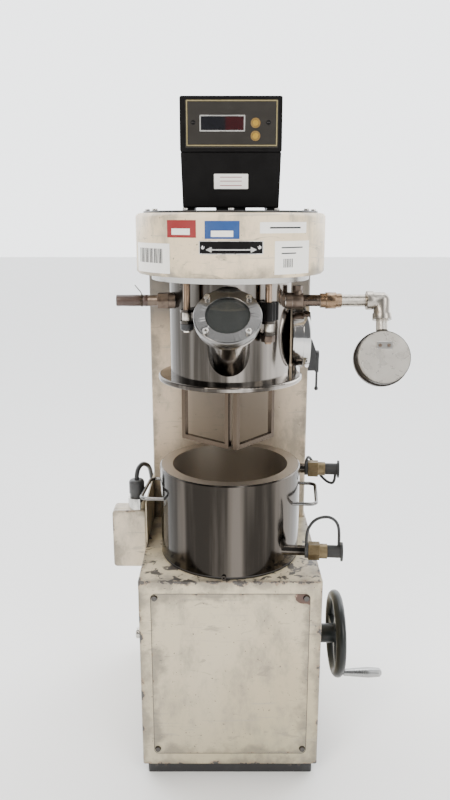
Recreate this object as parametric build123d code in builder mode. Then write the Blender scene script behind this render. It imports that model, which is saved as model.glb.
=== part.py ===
"""Bench planetary mixer: a hooded head with two orbiting stirrers over a jacketed can.

The mixing axis is X = 0, Y = 0. The floor is Z = 0, the front of the machine faces -Y.
The head is modelled at the top of its travel. Sizes are in millimetres.
"""

import os
from math import acos, cos, pi, radians, sin, sqrt, tan

from build123d import *

os.makedirs("parts", exist_ok=True)

# Clearances
running_gap = 0.08  # round pieces that turn or slide in a bore
sliding_gap = 0.8  # the column between the walls of the base
seat_gap = 0.3  # pieces of different bodies that stand face to face
hole_gap = 0.2  # screw and stud holes
gear_backlash = 0.25  # taken off the thickness of every tooth

# Base: a folded sheet box on a recessed plinth
base_width = 241.0
base_depth = 342.0
base_front = 101.6  # from the mixing axis forwards
base_top = 297.0
base_sheet = 2.0
base_corner = 3.0
base_flange = 12.0
plinth_height = 20.0
plinth_inset = 6.0
plinth_front_inset = 7.6
plinth_wall = 4.0
base_back = base_depth - base_front
base_mid = (base_back - base_front) / 2
wall_x = base_width / 2 - base_sheet  # inside of the side walls

# The left wall stands on above the top and carries the junction box
wing_front = 8.0
wing_top = 362.0
wing_round = 6.0

# Front cover, a flush panel with a flange behind the sheet
cover_width = 208.0
cover_bottom = 37.0
cover_top = 279.5
cover_corner = 6.0
cover_seam = 0.5
cover_flange = 11.0
cover_screw_x = 99.3
cover_screw_low = 44.5
cover_screw_high = 274.0
screw_head = 4.4
screw_head_height = 2.8
screw_shank = 2.4
plinth_screw_x = (-102.0, -89.5, 84.0, 96.5)
plinth_screw_z = 13.5
small_head = 2.4
small_head_height = 1.8

# Column: a sheet tube that slides down into the base with the head
column_front = 112.0
column_sheet = 2.0
column_low = 205.0
column_front_low = 289.0
column_half = wall_x - sliding_gap
column_back = base_back - base_sheet - sliding_gap

# Head housing
head_radius = 120.8
head_bottom = 687.0
head_height = 74.0
head_wall = 3.0
head_round = 6.0
head_chamfer = 3.0
head_ring_radius = 102.0
head_ring_height = 8.0
lid_inset = 10.0
lid_opening = 18.0
lid_thickness = 2.5
lid_screw_inset = 5.0
lid_screw_head = 3.2
lid_screw_height = 2.4
lid_screw_shank = 1.5
head_back = base_back
head_top = head_bottom + head_height
ring_under = head_bottom - head_ring_height

# Lift: guide rods, rack, pinions and the handwheel
head_travel = 120.0
rod_radius = 10.0
rod_x = 70.0
rod_y = 150.0
rod_top = 560.0
rod_foot = 22.0
rod_foot_height = 14.0
carriage_thickness = 10.0
carriage_half = 60.0
carriage_low = 130.0
boss_radius = 18.0
boss_height = 45.0
boss_low = 145.0
boss_high = 430.0
lift_module = 2.0
rack_pinion_teeth = 15
gear_teeth = 36
pinion_teeth = 12
lift_y = 70.0
lift_z = 147.0
rack_half = 10.0
rack_low = lift_z - 15.0
rack_high = lift_z + head_travel + 15.0
gear_x = 54.0
gear_face = 12.0
lift_shaft_radius = 7.0
wheel_shaft_radius = 8.0
pitch_rack = lift_module * rack_pinion_teeth / 2
wheel_y = lift_y - lift_module * (gear_teeth + pinion_teeth) / 2
wheel_z = lift_z
bracket_thickness = 8.0
bracket_x = (-28.0, 26.0, 76.0)  # left faces of the three bearing plates
bracket_top = 170.0
bush_radius = 12.0
bush_flange = 21.0
bush_flange_height = 6.0
bush_out = 14.0
left_bush_flange = 14.0
left_bush_height = 3.0
wheel_shaft_left = -141.0

# Handwheel and its revolving grip
rim_radius = 56.0
rim_section = 7.6
rim_x = 160.0
hub_radius = 14.0
hub_out = 8.0
spoke_count = 3
spoke_width = 11.0
spoke_thickness = 8.0
grip_angle = 235.0  # degrees in the wheel, from +Y upwards
grip_start = rim_x + rim_section + 1.0
grip_length = 56.0
grip_pin = 3.0
grip_radius = 7.6
grip_neck = 5.2

# Planetary drive
orbit = 33.0
drive_module = 1.5
sun_teeth = 28
planet_teeth = 16
gear_low = 648.0
gear_high = 660.0
shaft_radius = 9.0
sleeve_radius = 15.0
sleeve_flange = 34.0
sleeve_flange_height = 6.0
bearing_radius = 22.0
bearing_height = 20.0
carrier_radius = 62.0
carrier_wall = 4.0
carrier_floor = 12.0
carrier_low = 622.0
carrier_high = 668.0
carrier_lid_height = 6.0
carrier_lid_bore = 26.0
shaft_nut = 14.0
shaft_nut_height = 8.0
shaft_top = 748.0
pulley_radius = 68.0
pulley_low = 722.0
pulley_height = 20.0
pulley_hub = 20.0
pulley_web = 6.0
motor_front_room = 4.8
motor_back_room = 14.8
motor_front = column_front + column_sheet + carriage_thickness + motor_front_room
motor_back = column_back - column_sheet - motor_back_room
motor_y = (motor_front + motor_back) / 2
motor_radius = (motor_back - motor_front) / 2
motor_bottom = 520.0
motor_flange_height = 4.0
motor_shaft = 6.0
motor_pulley_radius = 13.6
belt_thickness = 2.5
belt_width = 16.0

# Stirrers: square bar frames on the planet shafts
bar = 6.35
stirrer_half = 39.0
stirrer_bottom = 454.0
stirrer_top = 579.0
left_stirrer_turn = -39.7
right_stirrer_turn = left_stirrer_turn + 90
planet_shaft = 6.0
stirrer_hub = 9.0
stirrer_hub_height = 11.0

# Vacuum hood
hood_radius = 79.6
hood_wall = 2.6
hood_bottom = 546.6
hood_flange_radius = 95.8
hood_flange_height = 7.0
hood_flange_round = 2.2
side_port_y = -30.0
side_port_z = 653.0
side_boss_radius = 10.0
side_boss_end = 78.5
side_bore = 5.0

# Charging port with its window, on an axis that rises forwards
port_tilt = 45.0
port_turn = 1.8  # degrees to the left
port_reach = 125.0
port_z = 646.5
port_ring = 40.0
port_ring_depth = 9.5
port_window = 26.0
port_lip = 4.0
glass_radius = 30.0
port_flange = 38.0
port_flange_depth = 6.0
neck_radius = 26.0
neck_bore = 23.5
port_screw_circle = 34.5
port_screw_head = 3.6
port_screw_shank = 2.0
port_screw_socket = 1.9

# Hanger studs that hold the hood up to the head
left_stud_x = -53.0
right_stud_x = 45.5
stud_y = -82.0
stud_radius = 4.2
tab_radius = 8.0
tab_height = 3.4
spool_height = 10.0
spool_radius = 5.5
left_tab_top = 648.0
right_tab_top = 634.0
nut_radius = 8.0
nut_height = 8.0
star_low = 635.0
star_height = 22.0
star_core = 9.0
star_reach = 8.8
star_lobe = 5.0

# Pipes: hose stub on the left, gauge pipe on the right
hex_radius = 9.5
hose_end = -145.0
hose_start = -105.0
hose_radius = 7.3
hose_bore = 5.0
barb_end = -119.0
barb_radius = 5.6
tee_end = 92.0
tee_radius = 10.0
dark_nipple_end = 114.0
union_end = 141.0
pipe_radius = 7.7
pipe_bore = 4.0
union_radius = 10.6
elbow_start = 173.0
elbow_x = 192.5
elbow_radius = 10.5
elbow_collar = 12.0
elbow_leg = 25.0
gauge_lean = 18.0
gauge_drop = 74.0
pipe_gauge_radius = 35.5
pipe_gauge_depth = 25.0
side_gauge_radius = 43.0
side_gauge_depth = 22.0
side_gauge_x = 80.8
side_gauge_z = 604.0
side_stem_x = 88.0
side_stem_radius = 5.5
bezel_depth = 9.0
bezel_step = 2.0
lens_thickness = 2.4
needle_thickness = 1.0
pipe_needle_rest = 45.0
side_needle_rest = 225.0

# Speed display on the head
tach_front = -60.0
tach_half = 60.0
tach_low = 830.2
tach_high = 892.3
tach_depth = 62.0
tach_round = 2.5
tach_base_top_half = 59.5
tach_base_low_half = 57.5
tach_base_low = 767.5
tach_base_depth = 66.0
tach_foot_half = 18.0
button_x = 28.6
button_high = 862.3
button_low = 848.0
button_radius = 3.6
button_out = 1.6

# Clamp lever on the right side of the column
lever_y = 126.0
lever_z = 554.0
lever_bracket_low = 531.0
lever_bracket_high = 578.0
lever_bracket_half = 8.0
lever_bracket_top_out = 6.0
lever_bracket_low_out = 12.0
lever_pin = 3.0
lever_tip_z = 502.0
lever_bar = 5.0
lever_hub = 7.0
lever_ball = 3.2
lever_rod = 1.8

# Can
can_radius = 96.5
can_inner = 79.3
can_top = 426.3
can_floor = 327.0
can_wall = 2.5
can_turn = -5.0
can_edge = 1.6
handle_x = 119.5
handle_half = 39.5
handle_z = 383.5
handle_rod = 2.4
handle_corner = 9.0
lug_radius = 3.3
lug_hole = 1.3
lug_out = 3.0
nozzle_radius = 6.9
nozzle_bore = 4.0
lower_y = -55.0
lower_z = 323.5
upper_y = 64.0
upper_z = 398.0
nozzle_end = 109.5
coupler_hex = 12.4
coupler_length = 25.0
plug_radius = 8.4
plug_flange = 12.6
plug_length = 20.5
plug_stem = 10.0
plug_flange_height = 2.6
strap_radius = 2.1
strap_rise = 45.0
strap_drop = 22.0
strap_back = 17.0
strap_collar = 10.0
strap_collar_width = 5.0

# Junction box on the left wall
box_out = 47.5
box_left = -base_width / 2 - box_out
box_front = 8.0
box_depth = 30.0
box_low = 263.5
box_high = 350.0
box_round = 5.0
box_seam = 1.2
box_wall = 4.0
gland_out = 13.0
gland_x = -base_width / 2 - gland_out
gland_y = box_front + box_depth / 2
hub_fitting_radius = 12.7
hub_fitting_height = 16.5
hub_fitting_top = box_high + hub_fitting_height
gland_radius = 11.0
gland_height = 26.0
gland_top = hub_fitting_top + gland_height
cable_radius = 3.3
wall_gland_y = 195.0
wall_gland_out = 9.5
wall_gland_x = -base_width / 2 - wall_gland_out
wall_gland_low = 204.0
wall_gland_high = 226.0


def gear_points(module, teeth, turn):
    """Points of an involute gear with stub teeth; a tooth stands at the turn angle."""
    pitch = module * teeth / 2
    base = pitch * cos(radians(20))
    root = pitch - module
    tip = pitch + 0.8 * module
    half = pi / (2 * teeth) - gear_backlash / (2 * pitch) + tan(radians(20)) - radians(20)
    radii = [root, (max(root, base) + tip) / 2, tip]
    if base > root:
        radii.insert(1, base)
    points = []
    for tooth in range(teeth):
        middle = radians(turn) + 2 * pi * tooth / teeth
        for side in (-1, 1):
            for r in radii if side < 0 else reversed(radii):
                pressure = acos(min(1, base / r))
                angle = middle + side * (half - tan(pressure) + pressure)
                points.append((r * cos(angle), r * sin(angle)))
    return points


def rack_points(pitch_line, back, low, high, phase):
    """Points of a rack in (Y, Z), teeth towards -Y, with a gap at the height phase."""
    step = pi * lift_module
    half = step / 4 - gear_backlash / 2
    tip, root = 0.8 * lift_module, lift_module
    tip_half = half - tip * tan(radians(20))
    root_half = half + root * tan(radians(20))
    points = [(back, low), (pitch_line + root, low)]
    first = int((low - phase) // step) + 1
    last = int((high - phase) // step) - 1
    for n in range(first, last + 1):
        middle = phase + (n + 0.5) * step
        points.append((pitch_line + root, middle - root_half))
        points.append((pitch_line - tip, middle - tip_half))
        points.append((pitch_line - tip, middle + tip_half))
        points.append((pitch_line + root, middle + root_half))
    return points + [(pitch_line + root, high), (back, high)]


def head_outline(inset):
    """The head's plan: a half circle in front and straight sides to the back."""
    Circle(head_radius - inset)
    with Locations((0, (head_back - inset) / 2)):
        Rectangle(2 * (head_radius - inset), head_back - inset)


def disc(plane, radius, low, high, mode=Mode.ADD):
    """A round of the part that is being built, along the plane's normal."""
    with BuildSketch(plane.offset(low)) as outline:
        Circle(radius)
    extrude(outline.sketch, amount=high - low, mode=mode)


def block(x, y, z, mode=Mode.ADD):
    """A straight-sided block from three (low, high) pairs."""
    with BuildSketch(Plane.XY.offset(z[0])) as outline:
        with Locations(((x[0] + x[1]) / 2, (y[0] + y[1]) / 2)):
            Rectangle(x[1] - x[0], y[1] - y[0])
    extrude(outline.sketch, amount=z[1] - z[0], mode=mode)


def bent_path(points):
    """Runs of a cord joined by arcs, each arc as large as its two runs allow."""
    radii = []
    for a, b, c in zip(points, points[1:], points[2:]):
        before, after = Vector(b) - Vector(a), Vector(c) - Vector(b)
        half_turn = radians(before.get_angle(after)) / 2
        radii.append(0.45 * min(before.length, after.length) / tan(half_turn))
    print("cord radii", [round(r, 1) for r in radii])
    return FilletPolyline(*points, radius=radii)


def finish(part, name):
    """Name the piece and write it."""
    part.part.label = name
    export_step(part.part, f"parts/{name}.step")


# Planes that several pieces share
wheel_axis = Plane(origin=(0, wheel_y, wheel_z), x_dir=(0, 1, 0), z_dir=(1, 0, 0))
lift_axis = Plane(origin=(0, lift_y, lift_z), x_dir=(0, 1, 0), z_dir=(1, 0, 0))
front = Plane(origin=(0, -base_front, 0), x_dir=(1, 0, 0), z_dir=(0, -1, 0))
motor_axis = Plane(origin=(0, motor_y, 0), z_dir=(0, 0, 1))
rise = radians(port_tilt)
left_turn = radians(port_turn)
port = Plane(
    origin=(-port_reach * sin(left_turn), -port_reach * cos(left_turn), port_z),
    x_dir=(cos(left_turn), -sin(left_turn), 0),
    z_dir=(-sin(left_turn) * cos(rise), -cos(left_turn) * cos(rise), sin(rise)),
)
left_pipe = Plane(origin=(0, side_port_y, side_port_z), x_dir=(0, 1, 0), z_dir=(-1, 0, 0))
right_pipe = Plane(origin=(0, side_port_y, side_port_z), x_dir=(0, 1, 0), z_dir=(1, 0, 0))
lean = radians(gauge_lean)
elbow = Vector(elbow_x, side_port_y, side_port_z)
leg = Plane(origin=elbow, x_dir=(1, 0, 0), z_dir=(0, -sin(lean), -cos(lean)))
pipe_dial = Plane(
    origin=elbow + leg.z_dir * gauge_drop, x_dir=(1, 0, 0), z_dir=(0, cos(lean), -sin(lean))
).offset(-pipe_gauge_depth / 2)
side_dial = Plane(origin=(side_gauge_x, 0, side_gauge_z), x_dir=(0, 1, 0), z_dir=(1, 0, 0))
can = Plane.XY.rotated((0, 0, can_turn))
lower_port = Plane(origin=can.from_local_coords((0, lower_y, lower_z)), z_dir=can.x_dir)
upper_port = Plane(origin=can.from_local_coords((0, upper_y, upper_z)), z_dir=can.x_dir)
cover_height = cover_top - cover_bottom
cover_mid = (cover_top + cover_bottom) / 2
cover_screws = [
    (x, z) for x in (-cover_screw_x, cover_screw_x) for z in (cover_screw_low, cover_screw_high)
]
plinth_low_y = -base_front + plinth_front_inset
plinth_high_y = base_back - plinth_inset
plinth_half = base_width / 2 - plinth_inset

# Base housing
with BuildPart() as base_housing:
    with BuildSketch(Plane.XY.offset(plinth_height)):
        with Locations((0, base_mid)):
            RectangleRounded(base_width, base_depth, base_corner)
    extrude(amount=base_top - plinth_height)
    chamfer(base_housing.faces().sort_by(Axis.Z)[-1].edges(), 1.0)
    with BuildSketch(Plane.XY.offset(plinth_height + base_sheet)):
        with Locations((0, base_mid)):
            RectangleRounded(2 * wall_x, base_depth - 2 * base_sheet, base_corner - base_sheet)
    extrude(amount=base_top - plinth_height - 2 * base_sheet, mode=Mode.SUBTRACT)
    with BuildSketch(Plane.XY.offset(plinth_height - 1)):
        with Locations((0, base_mid)):
            inner = 2 * (base_sheet + base_flange)
            Rectangle(base_width - inner, base_depth - inner)
    extrude(amount=base_sheet + 2, mode=Mode.SUBTRACT)
    well = (column_front - sliding_gap, base_back - base_sheet)
    block((-wall_x, wall_x), well, (base_top - 10, base_top + 1), Mode.SUBTRACT)
    block((-base_width / 2, -wall_x), (wing_front, base_back), (base_top - 12, wing_top))
    wing_edge = base_housing.edges().filter_by(Axis.X).group_by(Axis.Z)[-1].sort_by(Axis.Y)[0]
    fillet(wing_edge, wing_round)
    with BuildSketch(front.offset(1)):
        with Locations((0, cover_mid)):
            RectangleRounded(
                cover_width + 2 * cover_seam, cover_height + 2 * cover_seam, cover_corner + cover_seam
            )
    extrude(amount=-base_sheet - 2, mode=Mode.SUBTRACT)
    with BuildSketch(front.offset(1)):
        with Locations(*cover_screws):
            Circle(screw_shank + hole_gap)
    extrude(amount=-base_sheet - 2, mode=Mode.SUBTRACT)
    disc(wheel_axis, bush_radius + running_gap, wall_x - 5, wall_x + 5, Mode.SUBTRACT)
    disc(wheel_axis, bush_radius + running_gap, -wall_x - 5, -wall_x + 5, Mode.SUBTRACT)
finish(base_housing, "base_housing")

# Front cover with its hidden flange
with BuildPart() as front_cover:
    with BuildSketch(front):
        with Locations((0, cover_mid)):
            RectangleRounded(cover_width, cover_height, cover_corner)
    extrude(amount=-base_sheet)
    with BuildSketch(front.offset(-base_sheet)):
        with Locations((0, cover_mid)):
            RectangleRounded(
                cover_width + 2 * cover_flange, cover_height + cover_flange, cover_corner
            )
    extrude(amount=-base_sheet)
    with BuildSketch(front.offset(1)):
        with Locations(*cover_screws):
            Circle(screw_shank + hole_gap)
    extrude(amount=-2 * base_sheet - 2, mode=Mode.SUBTRACT)
finish(front_cover, "front_cover")

# Screws of the front cover and of the plinth
plinth_front = front.offset(-plinth_front_inset)
with BuildPart() as base_screws:
    with BuildSketch(front):
        with Locations(*cover_screws):
            Circle(screw_head)
    extrude(amount=screw_head_height, taper=18)
    with BuildSketch(front):
        with Locations(*cover_screws):
            Circle(screw_shank)
    extrude(amount=-2 * base_sheet - 3)
    with BuildSketch(plinth_front):
        with Locations(*[(x, plinth_screw_z) for x in plinth_screw_x]):
            Circle(small_head)
    extrude(amount=small_head_height)
finish(base_screws, "base_screws")

# Plinth: a pan that the base stands on
with BuildPart() as plinth:
    block((-plinth_half, plinth_half), (plinth_low_y, plinth_high_y), (0, plinth_height))
    fillet(plinth.edges().filter_by(Axis.Z), base_corner)
    block(
        (-plinth_half + plinth_wall, plinth_half - plinth_wall),
        (plinth_low_y + plinth_wall, plinth_high_y - plinth_wall),
        (plinth_wall, plinth_height + 1),
        Mode.SUBTRACT,
    )
finish(plinth, "plinth")

# Guide rods of the head
with BuildPart() as guide_rods:
    with BuildSketch(Plane.XY.offset(plinth_wall)):
        with Locations((-rod_x, rod_y), (rod_x, rod_y)):
            Circle(rod_foot)
    extrude(amount=rod_foot_height)
    with BuildSketch(Plane.XY.offset(plinth_wall)):
        with Locations((-rod_x, rod_y), (rod_x, rod_y)):
            Circle(rod_radius)
    extrude(amount=rod_top - plinth_wall)
    chamfer(guide_rods.faces().sort_by(Axis.Z)[-2:].edges(), 1.0)
finish(guide_rods, "guide_rods")

# Bearing plates of the lift shafts and the bushes in the side walls
with BuildPart() as shaft_bearings:
    for x in bracket_x:
        reach = wheel_y - 16 if x > 0 else lift_y - 16
        block((x, x + bracket_thickness), (reach, lift_y + 16), (plinth_wall, bracket_top))
    disc(lift_axis, lift_shaft_radius + running_gap, -40, 100, Mode.SUBTRACT)
    disc(wheel_axis, wheel_shaft_radius + running_gap, 20, 100, Mode.SUBTRACT)
    disc(wheel_axis, bush_radius, wall_x - 4, base_width / 2 + bush_out)
    disc(wheel_axis, bush_flange, base_width / 2, base_width / 2 + bush_flange_height)
    disc(wheel_axis, bush_radius, -base_width / 2, -wall_x + 4)
    disc(wheel_axis, left_bush_flange, -base_width / 2 - left_bush_height, -base_width / 2)
    bush_end = base_width / 2 + bush_out
    disc(wheel_axis, wheel_shaft_radius + running_gap, wall_x - 5, bush_end + 1, Mode.SUBTRACT)
    disc(wheel_axis, wheel_shaft_radius + running_gap, -bush_end, -wall_x + 5, Mode.SUBTRACT)
finish(shaft_bearings, "shaft_bearings")

# Junction box on the left wall, with its cover's seam
with BuildPart() as junction_box:
    block((box_left, -base_width / 2), (box_front, box_front + box_depth), (box_low, box_high))
    fillet(junction_box.edges().filter_by(Axis.Y), box_round)
    fillet(junction_box.faces().sort_by(Axis.Y)[0].edges(), 2.0)
    with BuildSketch(Plane.XZ.offset(-box_front - 9)):
        with Locations(((box_left - base_width / 2) / 2, (box_low + box_high) / 2)):
            Rectangle(60, 100)
            Rectangle(
                -base_width / 2 - box_left - 2 * box_seam,
                box_high - box_low - 2 * box_seam,
                mode=Mode.SUBTRACT,
            )
    extrude(amount=-box_seam, mode=Mode.SUBTRACT)
    gland_column = Plane(origin=(gland_x, gland_y, 0), z_dir=(0, 0, 1))
    disc(gland_column, hub_fitting_radius, box_high - 1, hub_fitting_top)
    block(
        (box_left + box_wall, -base_width / 2 + 1),
        (box_front + box_wall, box_front + box_depth - box_wall),
        (box_low + box_wall, box_high - box_wall),
        Mode.SUBTRACT,
    )
finish(junction_box, "junction_box")

# Cord grip on the junction box and the gland on the wall
with BuildPart() as cord_grip:
    disc(gland_column, gland_radius - 1, hub_fitting_top, hub_fitting_top + 6)
    disc(gland_column, gland_radius, hub_fitting_top + 6, gland_top)
    fillet(cord_grip.faces().sort_by(Axis.Z)[-1].edges(), 4.5)
    disc(gland_column, cable_radius, gland_top - 6, gland_top + 1, Mode.SUBTRACT)
    wall_gland = Plane(origin=(wall_gland_x, wall_gland_y, 0), z_dir=(0, 0, 1))
    block(
        (wall_gland_x - 9, -base_width / 2),
        (wall_gland_y - 10, wall_gland_y + 10),
        (wall_gland_low, wall_gland_high - 6),
    )
    disc(wall_gland, 7.5, wall_gland_high - 6, wall_gland_high)
    disc(wall_gland, cable_radius, wall_gland_high - 6, wall_gland_high + 1, Mode.SUBTRACT)
finish(cord_grip, "cord_grip")

# Supply cable from the grip back and down to the wall gland
cable_points = [
    (gland_x, gland_y, gland_top - 6),
    (gland_x, gland_y + 0.5, 397),
    (-132.0, 32, 406),
    (-128.0, 50, 406.5),
    (-125.6, 70, 399),
    (-124.4, 96, 388),
    (-124.4, 130, 368),
    (-125.0, 160, 330),
    (-128.0, 184, 288),
    (wall_gland_x, wall_gland_y, 250),
    (wall_gland_x, wall_gland_y, wall_gland_high - 6),
]
with BuildPart() as supply_cable:
    with BuildLine() as cable_line:
        bent_path(cable_points)
    with BuildSketch(Plane(origin=cable_points[0], z_dir=(0, 0, 1))):
        Circle(cable_radius)
    sweep(path=cable_line.wire())
finish(supply_cable, "supply_cable")

# Handwheel: round rim, hub and spokes
with BuildPart() as handwheel:
    with Locations(wheel_axis.offset(rim_x)):
        Torus(rim_radius, rim_section, rotation=(0, 0, grip_angle))
    hub_low = base_width / 2 + bush_out + 1
    disc(wheel_axis, hub_radius, hub_low, rim_x + hub_out)
    with BuildSketch(wheel_axis.offset(rim_x - spoke_thickness / 2)):
        with PolarLocations(rim_radius / 2, spoke_count, start_angle=grip_angle):
            Rectangle(rim_radius - 8, spoke_width)
    extrude(amount=spoke_thickness)
    disc(wheel_axis, wheel_shaft_radius, hub_low - 1, rim_x + hub_out + 1, Mode.SUBTRACT)
    grip_axis = Plane(
        origin=(
            0,
            wheel_y + rim_radius * cos(radians(grip_angle)),
            wheel_z + rim_radius * sin(radians(grip_angle)),
        ),
        z_dir=(1, 0, 0),
    )
    disc(grip_axis, grip_pin, rim_x, grip_start + grip_length - 6)
finish(handwheel, "handwheel")

# Handwheel shaft with the small pinion
with BuildPart() as wheel_shaft:
    disc(wheel_axis, wheel_shaft_radius, wheel_shaft_left, rim_x + hub_out)
    chamfer(wheel_shaft.edges().sort_by(Axis.X)[0], 1.0)
    with BuildSketch(wheel_axis.offset(gear_x)):
        with BuildLine():
            Polyline(*gear_points(lift_module, pinion_teeth, 0), close=True)
        make_face()
    extrude(amount=gear_face)
finish(wheel_shaft, "wheel_shaft")

# Revolving grip
with BuildPart() as crank_grip:
    grip_mid = grip_start + grip_length / 2
    profile = [
        (0, grip_start),
        (grip_neck, grip_start),
        (grip_neck, grip_start + 4),
        (grip_radius, grip_mid + 8),
        (grip_radius - 1.2, grip_start + grip_length - 3),
        (grip_radius - 4, grip_start + grip_length),
        (0, grip_start + grip_length),
    ]
    grip_side = Plane(origin=grip_axis.origin, x_dir=(0, 1, 0), z_dir=(0, 0, -1))
    with BuildSketch(grip_side):
        with BuildLine():
            Polyline(*profile, close=True)
        make_face()
    revolve(axis=Axis(grip_axis.origin, (1, 0, 0)))
    disc(grip_axis, grip_pin + running_gap, grip_start - 1, grip_start + grip_length - 5.5, Mode.SUBTRACT)
finish(crank_grip, "crank_grip")

# Cross shaft with the rack pinion
with BuildPart() as lift_shaft:
    disc(lift_axis, lift_shaft_radius, bracket_x[0] - 2, bracket_x[2] + bracket_thickness + 2)
    with BuildSketch(lift_axis.offset(-rack_half)):
        with BuildLine():
            Polyline(*gear_points(lift_module, rack_pinion_teeth, 0), close=True)
        make_face()
    extrude(amount=2 * rack_half)
finish(lift_shaft, "lift_shaft")

# Large gear on the cross shaft
with BuildPart() as lift_gear:
    with BuildSketch(lift_axis.offset(gear_x)):
        with BuildLine():
            Polyline(*gear_points(lift_module, gear_teeth, 180 / gear_teeth), close=True)
        make_face()
        Circle(lift_shaft_radius, mode=Mode.SUBTRACT)
    extrude(amount=gear_face)
finish(lift_gear, "lift_gear")

# Carriage with the rod bosses and the rack
rack_back = column_front + column_sheet
with BuildPart() as lift_carriage:
    plate_y = (rack_back, rack_back + carriage_thickness)
    block((-carriage_half, carriage_half), plate_y, (carriage_low, head_bottom))
    for low in (boss_low, boss_high):
        for side in (-rod_x, rod_x):
            web = (min(side, side / 2), max(side, side / 2))
            block(web, (rack_back, rod_y - 4), (low, low + boss_height))
            rod_axis = Plane(origin=(side, rod_y, 0), z_dir=(0, 0, 1))
            disc(rod_axis, boss_radius, low, low + boss_height)
    for side in (-rod_x, rod_x):
        rod_axis = Plane(origin=(side, rod_y, 0), z_dir=(0, 0, 1))
        disc(rod_axis, rod_radius + running_gap, carriage_low, head_bottom, Mode.SUBTRACT)
    with BuildSketch(Plane.YZ.offset(-rack_half)):
        with BuildLine():
            Polyline(
                *rack_points(lift_y + pitch_rack, rack_back, rack_low, rack_high, lift_z),
                close=True,
            )
        make_face()
    extrude(amount=2 * rack_half)
finish(lift_carriage, "lift_carriage")

# Column shroud
with BuildPart() as column_shroud:
    column_mid = (column_front + column_back) / 2
    with BuildSketch(Plane.XY.offset(column_low)):
        with Locations((0, column_mid)):
            RectangleRounded(2 * column_half, column_back - column_front, 3)
            RectangleRounded(
                2 * (column_half - column_sheet),
                column_back - column_front - 2 * column_sheet,
                1,
                mode=Mode.SUBTRACT,
            )
    extrude(amount=head_bottom - column_low)
    block(
        (-column_half - 1, column_half + 1),
        (column_front - 1, column_front + 4),
        (column_low - 1, column_front_low),
        Mode.SUBTRACT,
    )
finish(column_shroud, "column_shroud")

# Head housing
with BuildPart() as head_housing:
    with BuildSketch(Plane.XY.offset(head_bottom)):
        head_outline(0)
    extrude(amount=head_height)
    fillet(head_housing.faces().sort_by(Axis.Z)[-1].edges(), head_round)
    chamfer(head_housing.faces().sort_by(Axis.Z)[0].edges(), head_chamfer)
    disc(Plane.XY, head_ring_radius, ring_under, head_bottom)
    with BuildSketch(Plane.XY.offset(head_bottom + head_wall)):
        head_outline(head_wall)
    extrude(amount=head_height - 2 * head_wall, mode=Mode.SUBTRACT)
    with BuildSketch(Plane.XY.offset(head_top - head_wall - 1)):
        head_outline(lid_opening)
    extrude(amount=head_wall + 2, mode=Mode.SUBTRACT)
    disc(Plane.XY, sleeve_radius + running_gap, ring_under - 1, head_bottom + 5, Mode.SUBTRACT)
    disc(motor_axis, motor_shaft + 3, head_bottom - 1, head_bottom + 5, Mode.SUBTRACT)
finish(head_housing, "head_housing")

# Head cover plate with its screw holes
lid_screws = [
    ((head_radius - lid_inset - lid_screw_inset) * cos(radians(a)),
     (head_radius - lid_inset - lid_screw_inset) * sin(radians(a)))
    for a in range(180, 361, 30)
]
lid_screws += [
    (side * (head_radius - lid_inset - lid_screw_inset), y)
    for side in (-1, 1)
    for y in (head_back / 2, head_back - lid_inset - 2 * lid_screw_inset)
]
with BuildPart() as head_cover:
    with BuildSketch(Plane.XY.offset(head_top)):
        head_outline(lid_inset)
        with Locations(*lid_screws):
            Circle(lid_screw_shank + hole_gap, mode=Mode.SUBTRACT)
    extrude(amount=lid_thickness)
finish(head_cover, "head_cover")

# Fixed sun gear on its sleeve, with the shaft's bearing above it
floor_top = head_bottom + head_wall
bearing_top = floor_top + sleeve_flange_height + bearing_height
with BuildPart() as sun_hub:
    with BuildSketch(Plane.XY.offset(gear_low)):
        with BuildLine():
            Polyline(*gear_points(drive_module, sun_teeth, 0), close=True)
        make_face()
    extrude(amount=gear_high - gear_low)
    disc(Plane.XY, sleeve_radius, gear_high, floor_top)
    disc(Plane.XY, sleeve_flange, floor_top, floor_top + sleeve_flange_height)
    disc(Plane.XY, bearing_radius, floor_top, bearing_top)
    disc(Plane.XY, shaft_radius + running_gap, gear_low - 1, bearing_top + 1, Mode.SUBTRACT)
finish(sun_hub, "sun_hub")

# Main shaft
with BuildPart() as drive_shaft:
    disc(Plane.XY, shaft_radius, carrier_low, shaft_top)
    with BuildSketch(Plane.XY.offset(carrier_low - shaft_nut_height)):
        RegularPolygon(shaft_nut, 6)
    extrude(amount=shaft_nut_height)
finish(drive_shaft, "drive_shaft")

# Planet carrier and its lid
planet_spots = [(-orbit, 0), (orbit, 0)]
with BuildPart() as planet_carrier:
    disc(Plane.XY, carrier_radius, carrier_low, carrier_high)
    chamfer(planet_carrier.faces().sort_by(Axis.Z)[0].edges(), 2.0)
    disc(
        Plane.XY,
        carrier_radius - carrier_wall,
        carrier_low + carrier_floor,
        carrier_high + 1,
        Mode.SUBTRACT,
    )
    with BuildSketch(Plane.XY.offset(carrier_low - 1)):
        Circle(shaft_radius)
        with Locations(*planet_spots):
            Circle(planet_shaft + running_gap)
    extrude(amount=carrier_floor + 2, mode=Mode.SUBTRACT)
finish(planet_carrier, "planet_carrier")

with BuildPart() as carrier_lid:
    with BuildSketch(Plane.XY.offset(carrier_high)):
        Circle(carrier_radius)
        Circle(carrier_lid_bore, mode=Mode.SUBTRACT)
        with Locations(*planet_spots):
            Circle(planet_shaft + running_gap, mode=Mode.SUBTRACT)
    extrude(amount=carrier_lid_height)
finish(carrier_lid, "carrier_lid")

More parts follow.
